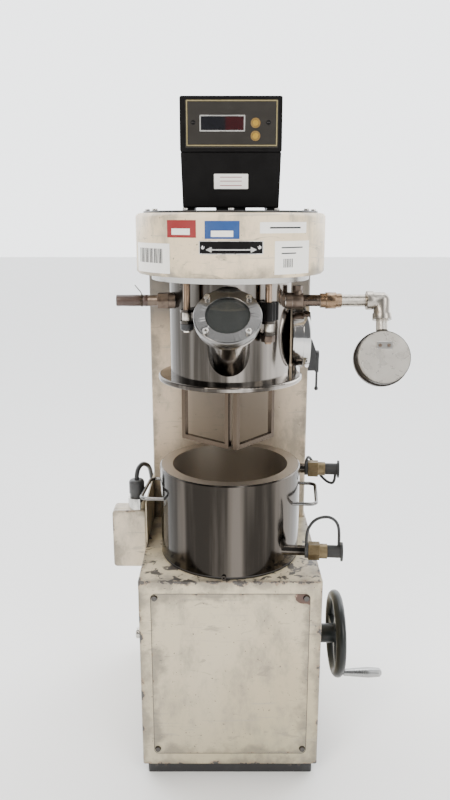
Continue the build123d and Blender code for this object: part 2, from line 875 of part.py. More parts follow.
# Planet gears
for side, name in ((-1, "planet_left"), (1, "planet_right")):
    planet_axis = Plane(origin=(side * orbit, 0, 0), z_dir=(0, 0, 1))
    with BuildPart() as planet:
        with BuildSketch(planet_axis.offset(gear_low)):
            with BuildLine():
                Polyline(*gear_points(drive_module, planet_teeth, 180 / planet_teeth), close=True)
            make_face()
            Circle(planet_shaft, mode=Mode.SUBTRACT)
        extrude(amount=gear_high - gear_low)
    finish(planet, name)

# Stirrers: a rectangular frame of square bar under each planet shaft
for x, turn, name in (
    (-orbit, left_stirrer_turn, "stirrer_left"),
    (orbit, right_stirrer_turn, "stirrer_right"),
):
    planet_axis = Plane(origin=(x, 0, 0), z_dir=(0, 0, 1))
    turned = planet_axis.rotated((0, 0, turn))
    with BuildPart() as stirrer:
        frame_plane = Plane(
            origin=turned.from_local_coords((0, -bar / 2, 0)), x_dir=turned.x_dir, z_dir=turned.y_dir
        )
        frame_width = 2 * stirrer_half + bar
        frame_mid = -(stirrer_bottom + stirrer_top) / 2
        with BuildSketch(frame_plane):
            with Locations((0, frame_mid)):
                Rectangle(frame_width, stirrer_top - stirrer_bottom)
                Rectangle(
                    frame_width - 2 * bar, stirrer_top - stirrer_bottom - 2 * bar, mode=Mode.SUBTRACT
                )
        extrude(amount=bar)
        disc(planet_axis, stirrer_hub, stirrer_top - 1, stirrer_top + stirrer_hub_height)
        disc(planet_axis, planet_shaft, stirrer_top, carrier_high + carrier_lid_height)
        disc(planet_axis, stirrer_hub, carrier_low + carrier_floor + seat_gap, gear_low)
    finish(stirrer, name)

# Driven pulley
with BuildPart() as driven_pulley:
    disc(Plane.XY, pulley_radius, pulley_low, pulley_low + pulley_height)
    disc(
        Plane.XY,
        pulley_radius - 8,
        pulley_low + pulley_web,
        pulley_low + pulley_height + 1,
        Mode.SUBTRACT,
    )
    disc(Plane.XY, pulley_hub, pulley_low, shaft_top - 2)
    disc(Plane.XY, shaft_radius, pulley_low - 1, shaft_top, Mode.SUBTRACT)
finish(driven_pulley, "driven_pulley")

# Drive motor under the head's floor
with BuildPart() as drive_motor:
    disc(motor_axis, motor_radius, motor_bottom, head_bottom - motor_flange_height)
    fillet(drive_motor.faces().sort_by(Axis.Z)[0].edges(), 4)
    with BuildSketch(motor_axis.offset(head_bottom - motor_flange_height)):
        Rectangle(2 * (motor_radius + 1), 2 * (motor_radius + 1))
    extrude(amount=motor_flange_height)
    disc(motor_axis, motor_shaft + running_gap, head_bottom - 40, head_bottom + 1, Mode.SUBTRACT)
finish(drive_motor, "drive_motor")

# Motor pulley with its shaft
belt_low = pulley_low + (pulley_height - belt_width) / 2
with BuildPart() as motor_pulley:
    disc(motor_axis, motor_shaft, head_bottom - 39, pulley_low + pulley_height + 4)
    disc(motor_axis, motor_pulley_radius, belt_low - 0.5, belt_low + belt_width + 0.5)
    for low in (belt_low - 2.5, belt_low + belt_width + 0.5):
        disc(motor_axis, motor_pulley_radius + 4, low, low + 2)
finish(motor_pulley, "motor_pulley")

# Belt around both pulleys
with BuildPart() as drive_belt:
    for grow, mode in ((belt_thickness, Mode.ADD), (0, Mode.SUBTRACT)):
        with BuildSketch(Plane.XY.offset(belt_low)):
            with BuildLine():
                CenterArc((0, 0), pulley_radius + running_gap + grow, 0, 360)
                CenterArc((0, motor_y), motor_pulley_radius + running_gap + grow, 0, 360)
            make_hull()
        extrude(amount=belt_width, mode=mode)
finish(drive_belt, "drive_belt")

# Vacuum hood with its flange, charging neck, side bosses and hanger tabs
tabs = (
    (left_stud_x, left_tab_top),
    (left_stud_x, left_tab_top - tab_height - spool_height - 2 * hole_gap),
    (right_stud_x, right_tab_top),
    (right_stud_x, right_tab_top - tab_height - spool_height - 2 * hole_gap),
)
screw_step = port_screw_circle / sqrt(2)
port_screws = [(x * screw_step, y * screw_step) for x in (-1, 1) for y in (-1, 1)]
flange_face = -port_ring_depth
with BuildPart() as hood:
    disc(Plane.XY, hood_flange_radius, hood_bottom, hood_bottom + hood_flange_height)
    fillet(hood.edges(), hood_flange_round)
    disc(Plane.XY, hood_radius, hood_bottom, ring_under)
    disc(port, port_flange, flange_face - port_flange_depth, flange_face)
    disc(port, neck_radius, -96, flange_face - port_flange_depth)
    disc(left_pipe, side_boss_radius, 60, side_boss_end)
    disc(right_pipe, side_boss_radius, 60, side_boss_end)
    for x, top in tabs:
        with BuildSketch(Plane.XY.offset(top - tab_height)):
            with Locations((x, stud_y)):
                Circle(tab_radius)
            inward = Vector(x, stud_y).normalized() * (hood_radius - 4)
            with BuildLine():
                across = Vector(-stud_y, x).normalized() * tab_radius
                Polyline(
                    inward + across,
                    Vector(x, stud_y) + across,
                    Vector(x, stud_y) - across,
                    inward - across,
                    close=True,
                )
            make_face()
        extrude(amount=tab_height)
    disc(Plane.XY, hood_radius - hood_wall, hood_bottom - 1, ring_under + 1, Mode.SUBTRACT)
    disc(port, neck_bore, -92, 0, Mode.SUBTRACT)
    disc(left_pipe, side_bore, 50, side_boss_end + 1, Mode.SUBTRACT)
    disc(right_pipe, side_bore, 50, side_boss_end + 1, Mode.SUBTRACT)
    with BuildSketch(Plane.XY.offset(right_tab_top - 30)):
        with Locations((left_stud_x, stud_y), (right_stud_x, stud_y)):
            Circle(stud_radius + hole_gap)
    extrude(amount=60, mode=Mode.SUBTRACT)
    with BuildSketch(port.offset(flange_face - port_flange_depth - 1)):
        with Locations(*port_screws):
            Circle(port_screw_shank + hole_gap)
    extrude(amount=port_flange_depth + 2, mode=Mode.SUBTRACT)
finish(hood, "hood")

# Hanger studs with their spools
with BuildPart() as hanger_studs:
    for x, top in ((left_stud_x, left_tab_top), (right_stud_x, right_tab_top)):
        stud_axis = Plane(origin=(x, stud_y, 0), z_dir=(0, 0, 1))
        spool_top = top - tab_height - hole_gap
        low = spool_top - spool_height - tab_height - nut_height - 3
        disc(stud_axis, stud_radius, low, ring_under)
        disc(stud_axis, spool_radius, spool_top - spool_height, spool_top)
finish(hanger_studs, "hanger_studs")

# Knurled nut on the left stud, star knob over a nut on the right one
with BuildPart() as hanger_nut:
    nut_axis = Plane(origin=(left_stud_x, stud_y, 0), z_dir=(0, 0, 1))
    nut_top = left_tab_top - 2 * tab_height - spool_height - 2 * hole_gap - seat_gap
    with BuildSketch(nut_axis.offset(nut_top - nut_height)):
        Circle(nut_radius)
        Circle(stud_radius + running_gap, mode=Mode.SUBTRACT)
    extrude(amount=nut_height)
    chamfer(hanger_nut.faces().sort_by(Axis.Z)[0].outer_wire().edges(), 1.5)
finish(hanger_nut, "hanger_nut")

with BuildPart() as star_knob:
    knob_axis = Plane(origin=(right_stud_x, stud_y, 0), z_dir=(0, 0, 1))
    with BuildSketch(knob_axis.offset(star_low)):
        Circle(star_core)
        with PolarLocations(star_reach, 3, start_angle=30):
            Circle(star_lobe)
        Circle(stud_radius + running_gap, mode=Mode.SUBTRACT)
    extrude(amount=star_height)
    fillet(star_knob.faces().sort_by(Axis.Z)[-1].outer_wire().edges(), 2)
finish(star_knob, "star_knob")

# Charging port: window ring and glass
with BuildPart() as sight_ring:
    disc(port, port_ring, -port_ring_depth, 0)
    fillet(sight_ring.edges().group_by(Axis(port.origin, port.z_dir))[-1], 1.6)
    disc(port, port_window, -port_ring_depth - 1, 1, Mode.SUBTRACT)
    disc(port, glass_radius + 0.2, -port_ring_depth - 1, -port_lip, Mode.SUBTRACT)
    with BuildSketch(port.offset(1)):
        with Locations(*port_screws):
            Circle(port_screw_shank + hole_gap)
    extrude(amount=-port_ring_depth - 2, mode=Mode.SUBTRACT)
finish(sight_ring, "sight_ring")

with BuildPart() as sight_glass:
    disc(port, glass_radius, -port_ring_depth, -port_lip - 0.1)
finish(sight_glass, "sight_glass")

# Screws of the head's cover and socket screws of the window
with BuildPart() as head_screws:
    with BuildSketch(Plane.XY.offset(head_top + lid_thickness)):
        with Locations(*lid_screws):
            Circle(lid_screw_head)
    extrude(amount=lid_screw_height)
    with BuildSketch(Plane.XY.offset(head_top)):
        with Locations(*lid_screws):
            Circle(lid_screw_shank)
    extrude(amount=lid_thickness)
    with BuildSketch(port):
        with Locations(*port_screws):
            Circle(port_screw_head)
    extrude(amount=port_screw_head)
    with BuildSketch(port):
        with Locations(*port_screws):
            Circle(port_screw_shank)
    extrude(amount=flange_face - port_flange_depth + 1)
    with BuildSketch(port.offset(port_screw_head)):
        with Locations(*port_screws):
            RegularPolygon(port_screw_socket, 6)
    extrude(amount=-2, mode=Mode.SUBTRACT)
finish(head_screws, "head_screws")

# Left vacuum line: fitting and hose stub
with BuildPart() as hose_fitting:
    with BuildSketch(left_pipe.offset(side_boss_end)):
        RegularPolygon(hex_radius, 6, major_radius=False)
    extrude(amount=14)
    disc(left_pipe, 7.2, side_boss_end + 14, -hose_start)
    disc(left_pipe, barb_radius, -hose_start, -barb_end)
    disc(left_pipe, side_bore - 0.05, side_boss_end - 5, side_boss_end)
    disc(left_pipe, 3.2, side_boss_end - 6, -barb_end + 1, Mode.SUBTRACT)
finish(hose_fitting, "hose_fitting")

with BuildPart() as vacuum_hose:
    disc(left_pipe, hose_radius, -hose_start, -hose_end)
    disc(left_pipe, barb_radius + 0.05, -hose_start - 1, -barb_end, Mode.SUBTRACT)
    disc(left_pipe, hose_bore, -barb_end - 1, -hose_end + 1, Mode.SUBTRACT)
finish(vacuum_hose, "vacuum_hose")

# Right line: tee with a plug on top, pipe with its union, elbow and gauge
with BuildPart() as vacuum_tee:
    disc(right_pipe, tee_radius, side_boss_end, tee_end)
    tee_mid = (side_boss_end + tee_end) / 2
    tee_up = Plane(origin=(tee_mid, side_port_y, side_port_z), z_dir=(0, 0, 1))
    disc(tee_up, 6.4, 0, 13)
    with BuildSketch(tee_up.offset(13)):
        RegularPolygon(6.5, 6)
    extrude(amount=6)
    disc(right_pipe, pipe_bore, side_boss_end - 1, tee_end + 1, Mode.SUBTRACT)
finish(vacuum_tee, "vacuum_tee")

with BuildPart() as gauge_pipe:
    disc(right_pipe, pipe_radius - 0.4, tee_end, dark_nipple_end)
    disc(right_pipe, union_radius - 1.4, dark_nipple_end, union_end)
    disc(right_pipe, union_radius, dark_nipple_end + 7, union_end - 7)
    disc(right_pipe, pipe_radius, union_end, elbow_start)
    disc(right_pipe, pipe_bore, tee_end - 1, elbow_start + 1, Mode.SUBTRACT)
finish(gauge_pipe, "gauge_pipe")

with BuildPart() as gauge_elbow:
    disc(right_pipe, elbow_radius, elbow_start, elbow_x)
    disc(right_pipe, elbow_collar, elbow_start, elbow_start + 8)
    with BuildSketch(Plane(origin=elbow, x_dir=(1, 0, 0), z_dir=(0, 0, 1))):
        with BuildLine():
            CenterArc((0, 0), elbow_radius, -90, 180)
            Line((0, elbow_radius), (0, -elbow_radius))
        make_face()
    revolve(axis=Axis(elbow, (0, 1, 0)))
    disc(leg, elbow_radius, 0, elbow_leg)
    disc(leg, elbow_collar, elbow_leg - 8, elbow_leg)
    disc(right_pipe, pipe_bore, elbow_start - 1, elbow_x, Mode.SUBTRACT)
    disc(leg, pipe_bore, 0, elbow_leg + 1, Mode.SUBTRACT)
finish(gauge_elbow, "gauge_elbow")


def gauge_case(dial, radius, depth):
    """A round gauge along the dial's normal, open in front for the lens."""
    disc(dial, radius - 4, 0, bezel_step)
    disc(dial, radius - bezel_step, bezel_step, depth)
    disc(dial, radius, depth - bezel_depth, depth)
    disc(dial, radius - 6, depth - bezel_depth - 1, depth + 1, Mode.SUBTRACT)
    disc(dial, radius - 4.4, depth - 1.5 - lens_thickness, depth - 1.5, Mode.SUBTRACT)
    disc(dial, 1.2, depth - bezel_depth - 2, depth - bezel_depth + 0.3)


def gauge_lens(dial, radius, depth):
    """The lens in its groove behind the bezel's lip."""
    disc(dial, radius - 4.5, depth - 1.4 - lens_thickness, depth - 1.6)


def gauge_needle(dial, radius, depth, turn):
    """A pointer on a hub just off the dial."""
    low = depth - bezel_depth - 0.6
    disc(dial, 3.0, low, low + 2.0)
    with BuildSketch(dial.offset(low + 0.5)) as pointer:
        with PolarLocations((radius - 12) / 2 - 4, 1, start_angle=turn):
            Rectangle(radius - 12 + 8, 1.8)
    extrude(pointer.sketch, amount=needle_thickness)
    disc(dial, 1.2 + running_gap, low - 1, low + 1.2, Mode.SUBTRACT)


with BuildPart() as pipe_gauge:
    gauge_case(pipe_dial, pipe_gauge_radius, pipe_gauge_depth)
    disc(leg, pipe_radius, elbow_leg, gauge_drop - pipe_gauge_radius + 6)
finish(pipe_gauge, "pipe_gauge")

with BuildPart() as pipe_gauge_lens:
    gauge_lens(pipe_dial, pipe_gauge_radius, pipe_gauge_depth)
finish(pipe_gauge_lens, "pipe_gauge_lens")

with BuildPart() as pipe_gauge_needle:
    gauge_needle(pipe_dial, pipe_gauge_radius, pipe_gauge_depth, pipe_needle_rest)
finish(pipe_gauge_needle, "pipe_gauge_needle")

with BuildPart() as side_gauge:
    gauge_case(side_dial, side_gauge_radius, side_gauge_depth)
    side_stem = Plane(origin=(side_stem_x, 0, 0), z_dir=(0, 0, 1))
    disc(side_stem, side_stem_radius, hood_bottom + hood_flange_height, side_gauge_z - 38)
finish(side_gauge, "side_gauge")

with BuildPart() as side_gauge_lens:
    gauge_lens(side_dial, side_gauge_radius, side_gauge_depth)
finish(side_gauge_lens, "side_gauge_lens")

with BuildPart() as side_gauge_needle:
    gauge_needle(side_dial, side_gauge_radius, side_gauge_depth, side_needle_rest)
finish(side_gauge_needle, "side_gauge_needle")

# Speed display: tapered lower box on feet, and the display case
with BuildPart() as tach_base:
    base_y = tach_front + 2 + tach_base_depth / 2
    for z, half in ((tach_base_low, tach_base_low_half), (tach_low, tach_base_top_half)):
        with BuildSketch(Plane.XY.offset(z)):
            with Locations((0, base_y)):
                Rectangle(2 * half, tach_base_depth)
    loft()
    foot_y = (tach_front + 6, tach_front + tach_base_depth - 6)
    low = head_top + lid_thickness
    block((-tach_foot_half, tach_foot_half), foot_y, (low, tach_base_low))
    block((-tach_base_low_half, -tach_base_low_half + 14), foot_y, (low, tach_base_low))
    block((tach_base_low_half - 14, tach_base_low_half), foot_y, (low, tach_base_low))
finish(tach_base, "tach_base")

with BuildPart() as tach_case:
    block((-tach_half, tach_half), (tach_front, tach_front + tach_depth), (tach_low, tach_high))
    fillet(tach_case.edges().filter_by(Axis.Y), tach_round)
    fillet(tach_case.faces().sort_by(Axis.Y)[0].edges(), 1.5)
    with BuildSketch(Plane.XZ.offset(-tach_front - 0.5)):
        with Locations((button_x, button_low), (button_x, button_high)):
            Circle(button_radius + running_gap)
    extrude(amount=8, both=True, mode=Mode.SUBTRACT)
finish(tach_case, "tach_case")

for z, name in ((button_high, "button_up"), (button_low, "button_down")):
    button_axis = Plane(origin=(button_x, tach_front, z), x_dir=(1, 0, 0), z_dir=(0, -1, 0))
    with BuildPart() as button:
        disc(button_axis, button_radius, -4, button_out)
        chamfer(button.faces().sort_by(Axis.Y)[0].edges(), 0.5)
    finish(button, name)

# Clamp lever on the column and its bracket
with BuildPart() as lever_bracket:
    with BuildSketch(Plane.XZ.offset(-lever_y - lever_bracket_half)):
        with BuildLine():
            Polyline(
                (column_half, lever_bracket_low),
                (column_half + lever_bracket_low_out, lever_bracket_low),
                (column_half + lever_bracket_low_out, lever_z + 8),
                (column_half + lever_bracket_top_out, lever_bracket_high),
                (column_half, lever_bracket_high),
                close=True,
            )
        make_face()
    extrude(amount=2 * lever_bracket_half)
    lever_axis = Plane(origin=(0, lever_y, lever_z), x_dir=(0, 1, 0), z_dir=(1, 0, 0))
    disc(lever_axis, lever_pin + running_gap, column_half + 1, column_half + 30, Mode.SUBTRACT)
finish(lever_bracket, "lever_bracket")

lever_low = column_half + lever_bracket_low_out + seat_gap
with BuildPart() as clamp_lever:
    disc(lever_axis, lever_pin, column_half + 1.5, lever_low + 1)
    disc(lever_axis, lever_hub, lever_low, lever_low + lever_bar)
    with BuildSketch(lever_axis.offset(lever_low)):
        with BuildLine():
            Polyline((-5, 0), (-4, -26), (4, -26), (5, 0), close=True)
        make_face()
    extrude(amount=lever_bar)
    rod_plane = Plane(origin=(lever_low + lever_bar / 2, lever_y, 0), z_dir=(0, 0, 1))
    disc(rod_plane, lever_rod, lever_tip_z, lever_z - 20)
    ball = (rod_plane.origin.X, lever_y, lever_tip_z)
    with BuildSketch(Plane(origin=ball, x_dir=(1, 0, 0), z_dir=(0, -1, 0))):
        with BuildLine():
            CenterArc((0, 0), lever_ball, -90, 180)
            Line((0, lever_ball), (0, -lever_ball))
        make_face()
    revolve(axis=Axis(ball, (0, 0, 1)))
finish(clamp_lever, "clamp_lever")

# Can with its hollow jacket, side nozzles and the front lug
with BuildPart() as can_shell:
    with BuildSketch(Plane.XZ):
        with BuildLine():
            Polyline(
                (0, base_top),
                (can_radius - can_edge, base_top),
                (can_radius, base_top + can_edge),
                (can_radius, can_top - can_edge),
                (can_radius - can_edge, can_top),
                (can_inner, can_top),
                (can_inner, can_floor + 5),
                (can_inner - 5, can_floor),
                (0, can_floor),
                close=True,
            )
        make_face()
    revolve(axis=Axis.Z)
    for nozzle in (lower_port, upper_port):
        disc(nozzle, nozzle_radius, can_inner / 2 + 20, nozzle_end)
    disc(Plane.XY, can_inner, can_floor + 5, can_top + 1, Mode.SUBTRACT)
    with BuildSketch(Plane.XY.offset(base_top + can_wall)):
        Circle(can_radius - can_wall)
        Circle(can_inner + can_wall, mode=Mode.SUBTRACT)
    extrude(amount=can_top - base_top - 3 * can_wall, mode=Mode.SUBTRACT)
    disc(Plane.XY, can_inner + can_wall, base_top + can_wall, can_floor - 2 * can_wall, Mode.SUBTRACT)
    for nozzle, y in ((lower_port, lower_y), (upper_port, upper_y)):
        wall_at = sqrt((can_radius - can_wall / 2) ** 2 - y * y)
        disc(nozzle, nozzle_bore, wall_at - 6, nozzle_end + 1, Mode.SUBTRACT)
    lug_plane = Plane(
        origin=can.from_local_coords((0, -can_radius + 0.5, base_top + lug_radius + 0.4)),
        z_dir=-can.y_dir,
    )
    disc(lug_plane, lug_radius, 0, lug_out)
    disc(lug_plane, lug_hole, 0.8, lug_out + 1, Mode.SUBTRACT)
finish(can_shell, "can_shell")

# Can handles: horizontal loops of rod
with BuildPart() as can_handles:
    for side in (-1, 1):
        root_x = sqrt(can_radius**2 - handle_half**2) - 4
        points = [
            can.from_local_coords((side * root_x, -handle_half, handle_z)),
            can.from_local_coords((side * handle_x, -handle_half, handle_z)),
            can.from_local_coords((side * handle_x, handle_half, handle_z)),
            can.from_local_coords((side * root_x, handle_half, handle_z)),
        ]
        with BuildLine() as handle_line:
            FilletPolyline(*points, radius=handle_corner)
        with BuildSketch(Plane(origin=points[0], z_dir=can.x_dir * side)):
            Circle(handle_rod)
        sweep(path=handle_line.wire())
    disc(Plane.XY, can_radius, handle_z - 10, handle_z + 10, Mode.SUBTRACT)
finish(can_handles, "can_handles")

# Couplers on the nozzles
with BuildPart() as can_couplers:
    for nozzle in (lower_port, upper_port):
        with BuildSketch(nozzle.offset(nozzle_end)):
            RegularPolygon(coupler_hex, 6)
        extrude(amount=coupler_length * 0.6)
        disc(nozzle, coupler_hex - 2.5, nozzle_end, nozzle_end + coupler_length)
        disc(nozzle, nozzle_bore, nozzle_end - 1, nozzle_end + coupler_length + 1, Mode.SUBTRACT)
finish(can_couplers, "can_couplers")

# Dust plugs in the couplers
for nozzle, name in ((lower_port, "lower_plug"), (upper_port, "upper_plug")):
    plug_start = nozzle_end + coupler_length
    with BuildPart() as plug:
        disc(nozzle, plug_radius, plug_start + seat_gap, plug_start + plug_length)
        disc(nozzle, plug_flange, plug_start + plug_length - plug_flange_height, plug_start + plug_length)
        disc(nozzle, nozzle_bore - running_gap, plug_start - plug_stem, plug_start + 1)
    finish(plug, name)

# Rubber straps from the nozzle to the plug: the lower one stands up, the upper one passes behind
with BuildPart() as plug_straps:
    start_x = nozzle_end - strap_collar_width / 2
    end_x = nozzle_end + coupler_length + plug_length - plug_flange_height - strap_radius - 0.6
    standing = [
        (start_x, 0, strap_collar - 0.5),
        (start_x + 2, 0, strap_rise * 0.62),
        (start_x + 18, 0, strap_rise),
        (end_x - 8, 0, strap_rise * 1.04),
        (end_x, 0, strap_rise * 0.6),
        (end_x, 0, plug_radius + 0.3),
    ]
    hanging = [
        (start_x, 0, strap_collar - 0.5),
        (start_x + 2, 5, strap_collar + 6),
        (start_x + 8, strap_back, strap_collar - 2),
        (start_x + 18, strap_back, -strap_collar),
        (end_x - 14, strap_back / 2, -strap_drop),
        (end_x, 0, -strap_drop),
        (end_x, 0, -plug_radius - 0.3),
    ]
    for nozzle, y, z, places in (
        (lower_port, lower_y, lower_z, standing),
        (upper_port, upper_y, upper_z, hanging),
    ):
        collar_low = nozzle_end - strap_collar_width
        disc(nozzle, strap_collar, collar_low, nozzle_end - 0.1)
        disc(nozzle, nozzle_radius + 0.05, collar_low - 1, nozzle_end, Mode.SUBTRACT)
        route = [can.from_local_coords((x, y + back, z + up)) for x, back, up in places]
        with BuildLine() as strap_line:
            bent_path(route)
        with BuildSketch(Plane(origin=route[0], z_dir=route[1] - route[0])):
            Circle(strap_radius)
        sweep(path=strap_line.wire())
finish(plug_straps, "plug_straps")
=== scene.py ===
"""Looks of a bench planetary mixer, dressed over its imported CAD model."""

import math

import bmesh
import bpy
from mathutils import Matrix, Vector


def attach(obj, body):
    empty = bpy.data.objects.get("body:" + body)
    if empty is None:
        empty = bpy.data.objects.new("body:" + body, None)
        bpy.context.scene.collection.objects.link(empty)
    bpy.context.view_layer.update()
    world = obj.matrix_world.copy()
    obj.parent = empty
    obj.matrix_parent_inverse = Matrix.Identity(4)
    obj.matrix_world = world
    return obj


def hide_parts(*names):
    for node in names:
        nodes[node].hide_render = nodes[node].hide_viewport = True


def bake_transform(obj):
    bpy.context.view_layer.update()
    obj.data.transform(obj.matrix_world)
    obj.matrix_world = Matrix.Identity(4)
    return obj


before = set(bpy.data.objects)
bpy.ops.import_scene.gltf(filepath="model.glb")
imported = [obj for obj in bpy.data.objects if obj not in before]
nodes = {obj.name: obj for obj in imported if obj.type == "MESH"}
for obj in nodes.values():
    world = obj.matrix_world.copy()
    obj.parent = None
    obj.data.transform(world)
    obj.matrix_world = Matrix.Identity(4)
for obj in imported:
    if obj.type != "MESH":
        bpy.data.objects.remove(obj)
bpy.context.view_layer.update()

MM = 0.001

# Places on the painted pieces, in metres
BASE_SIDE = 0.1205
BASE_FRONT = -0.1016
BASE_TOP = 0.297
BASE_FOOT = 0.02
COVER_SIDE = 0.104
COVER_LOW = 0.037
COVER_HIGH = 0.2795
COLUMN_SIDE = 0.1177
COLUMN_FRONT = 0.112
BOX_SIDE = 0.168
BOX_FRONT = 0.008
BOX_TOP = 0.35
HEAD_LOW = 0.687

# Places that carry the added pieces, in millimetres
HEAD_RADIUS = 120.8
PORT_Y = -30.0
PORT_Z = 653.0
GAUGE_X = 192.5
GAUGE_DROP = 74.0
GAUGE_BACK = 12.5
DISPLAY_FRONT = -60.0
CASE_FRONT = -58.3
STRAP_ROD = 2.0

# The pipe's gauge hangs leaning back by this much
LEAN = math.radians(18)
GAUGE_DOWN = Vector((0, -math.sin(LEAN), -math.cos(LEAN)))
GAUGE_OUT = Vector((0, math.cos(LEAN), -math.sin(LEAN)))
GAUGE_CENTRE = Vector((GAUGE_X, PORT_Y, PORT_Z)) + GAUGE_DOWN * GAUGE_DROP


def feed(tree, value, socket):
    """A socket gets a number, a colour or another node's output."""
    if isinstance(value, bpy.types.NodeSocket):
        tree.links.new(value, socket)
    else:
        socket.default_value = value


def math_node(tree, kind, a, b=0.0):
    node = tree.nodes.new("ShaderNodeMath")
    node.operation = kind
    feed(tree, a, node.inputs[0])
    feed(tree, b, node.inputs[1])
    return node.outputs[0]


class Paint:
    """A node material on the Principled shader, drawn in the object's own coordinates."""

    def __init__(self, name, color, rough, metal=0.0, **sockets):
        self.mat = bpy.data.materials.new(name)
        self.mat.use_nodes = True
        self.tree = self.mat.node_tree
        self.shader = self.tree.nodes["Principled BSDF"]
        self.color = (*color, 1.0)
        self.height = None
        self.set("Base Color", self.color)
        self.set("Roughness", rough)
        self.set("Metallic", metal)
        for key, value in sockets.items():
            self.set(key.replace("_", " ").title().replace("Ior", "IOR"), value)
        self.place = self.tree.nodes.new("ShaderNodeTexCoord").outputs["Object"]

    def set(self, socket, value):
        self.shader.inputs[socket].default_value = value

    def math(self, kind, a, b=0.0):
        return math_node(self.tree, kind, a, b)

    def vector(self, kind, a, b=(0, 0, 0)):
        """A vector sum's node, with its Vector and Value outputs."""
        node = self.tree.nodes.new("ShaderNodeVectorMath")
        node.operation = kind
        feed(self.tree, a, node.inputs[0])
        feed(self.tree, b, node.inputs[1])
        return node.outputs

    def noise(self, scale, detail=4.0, stretch=(1, 1, 1), roughness=0.5, distortion=0.0):
        mapping = self.tree.nodes.new("ShaderNodeMapping")
        mapping.inputs["Scale"].default_value = stretch
        self.tree.links.new(self.place, mapping.inputs["Vector"])
        node = self.tree.nodes.new("ShaderNodeTexNoise")
        node.inputs["Scale"].default_value = scale
        node.inputs["Detail"].default_value = detail
        node.inputs["Roughness"].default_value = roughness
        node.inputs["Distortion"].default_value = distortion
        self.tree.links.new(mapping.outputs[0], node.inputs["Vector"])
        return node.outputs["Fac"]

    def spread(self, value, low, high, out_low=0.0, out_high=1.0):
        """A soft step of value between low and high."""
        node = self.tree.nodes.new("ShaderNodeMapRange")
        node.interpolation_type = "SMOOTHSTEP"
        feed(self.tree, value, node.inputs["Value"])
        node.inputs["From Min"].default_value = low
        node.inputs["From Max"].default_value = high
        node.inputs["To Min"].default_value = out_low
        node.inputs["To Max"].default_value = out_high
        return node.outputs["Result"]

    def axis(self, letter):
        node = self.tree.nodes.new("ShaderNodeSeparateXYZ")
        self.tree.links.new(self.place, node.inputs[0])
        return node.outputs["XYZ".index(letter.upper())]

    def tint(self, factor, color):
        """Lays another colour over what is there, by the factor."""
        node = self.tree.nodes.new("ShaderNodeMix")
        node.data_type = "RGBA"
        feed(self.tree, factor, node.inputs["Factor"])
        feed(self.tree, self.color, node.inputs[6])
        feed(self.tree, (*color, 1.0), node.inputs[7])
        self.color = node.outputs[2]
        feed(self.tree, self.color, self.shader.inputs["Base Color"])
        return self

    def rough(self, value):
        feed(self.tree, value, self.shader.inputs["Roughness"])
        return self

    def bump(self, height, distance, strength=1.0):
        node = self.tree.nodes.new("ShaderNodeBump")
        node.inputs["Strength"].default_value = strength
        node.inputs["Distance"].default_value = distance
        feed(self.tree, height, node.inputs["Height"])
        if self.height is not None:
            self.tree.links.new(self.height, node.inputs["Normal"])
        self.height = node.outputs[0]
        self.tree.links.new(self.height, self.shader.inputs["Normal"])
        return self

    def edge(self, *edges):
        """Metres to the nearest edge; an edge is two (axis, place) pairs, and x counts both sides."""
        nearest = None
        for pairs in edges:
            away = []
            for letter, place in pairs:
                value = self.axis(letter)
                if letter == "x":
                    value = self.math("ABSOLUTE", value)
                away.append(self.math("ABSOLUTE", self.math("SUBTRACT", value, place)))
            far = self.math("MAXIMUM", *away)
            nearest = far if nearest is None else self.math("MINIMUM", nearest, far)
        return nearest

    def within(self, letter, low, high, soft=0.0004):
        """1 between two places on an axis, else 0."""
        value = self.axis(letter)
        up = self.spread(value, low - soft, low + soft)
        down = self.spread(value, high - soft, high + soft, 1.0, 0.0)
        return self.math("MULTIPLY", up, down)

    def painted_shade_band(self, half, top, color, below, above):
        """A band of painted shade up the front, soft at its sides, with a share below its top and one above."""
        factor = 1.0
        for letter, low, high, start, end in (
            ("x", -half, -half * 0.55, 0.0, 1.0),
            ("x", half * 0.55, half, 1.0, 0.0),
            ("z", top - 0.02, top + 0.03, below, above),
            ("y", 0.118, 0.15, 1.0, 0.0),
        ):
            step = self.spread(self.axis(letter), low, high, start, end)
            factor = self.math("MULTIPLY", factor, step)
        return self.tint(factor, color)

    def bare_metal(self, low, high, color, rough):
        """Metal between two heights of a painted piece."""
        height = self.axis("z")
        above = self.math("GREATER_THAN", height, low)
        below = self.math("LESS_THAN", height, high)
        inside = self.math("MULTIPLY", above, below)
        feed(self.tree, inside, self.shader.inputs["Metallic"])
        self.tint(inside, color)
        return self.rough(self.spread(inside, 0.0, 1.0, 0.36, rough))


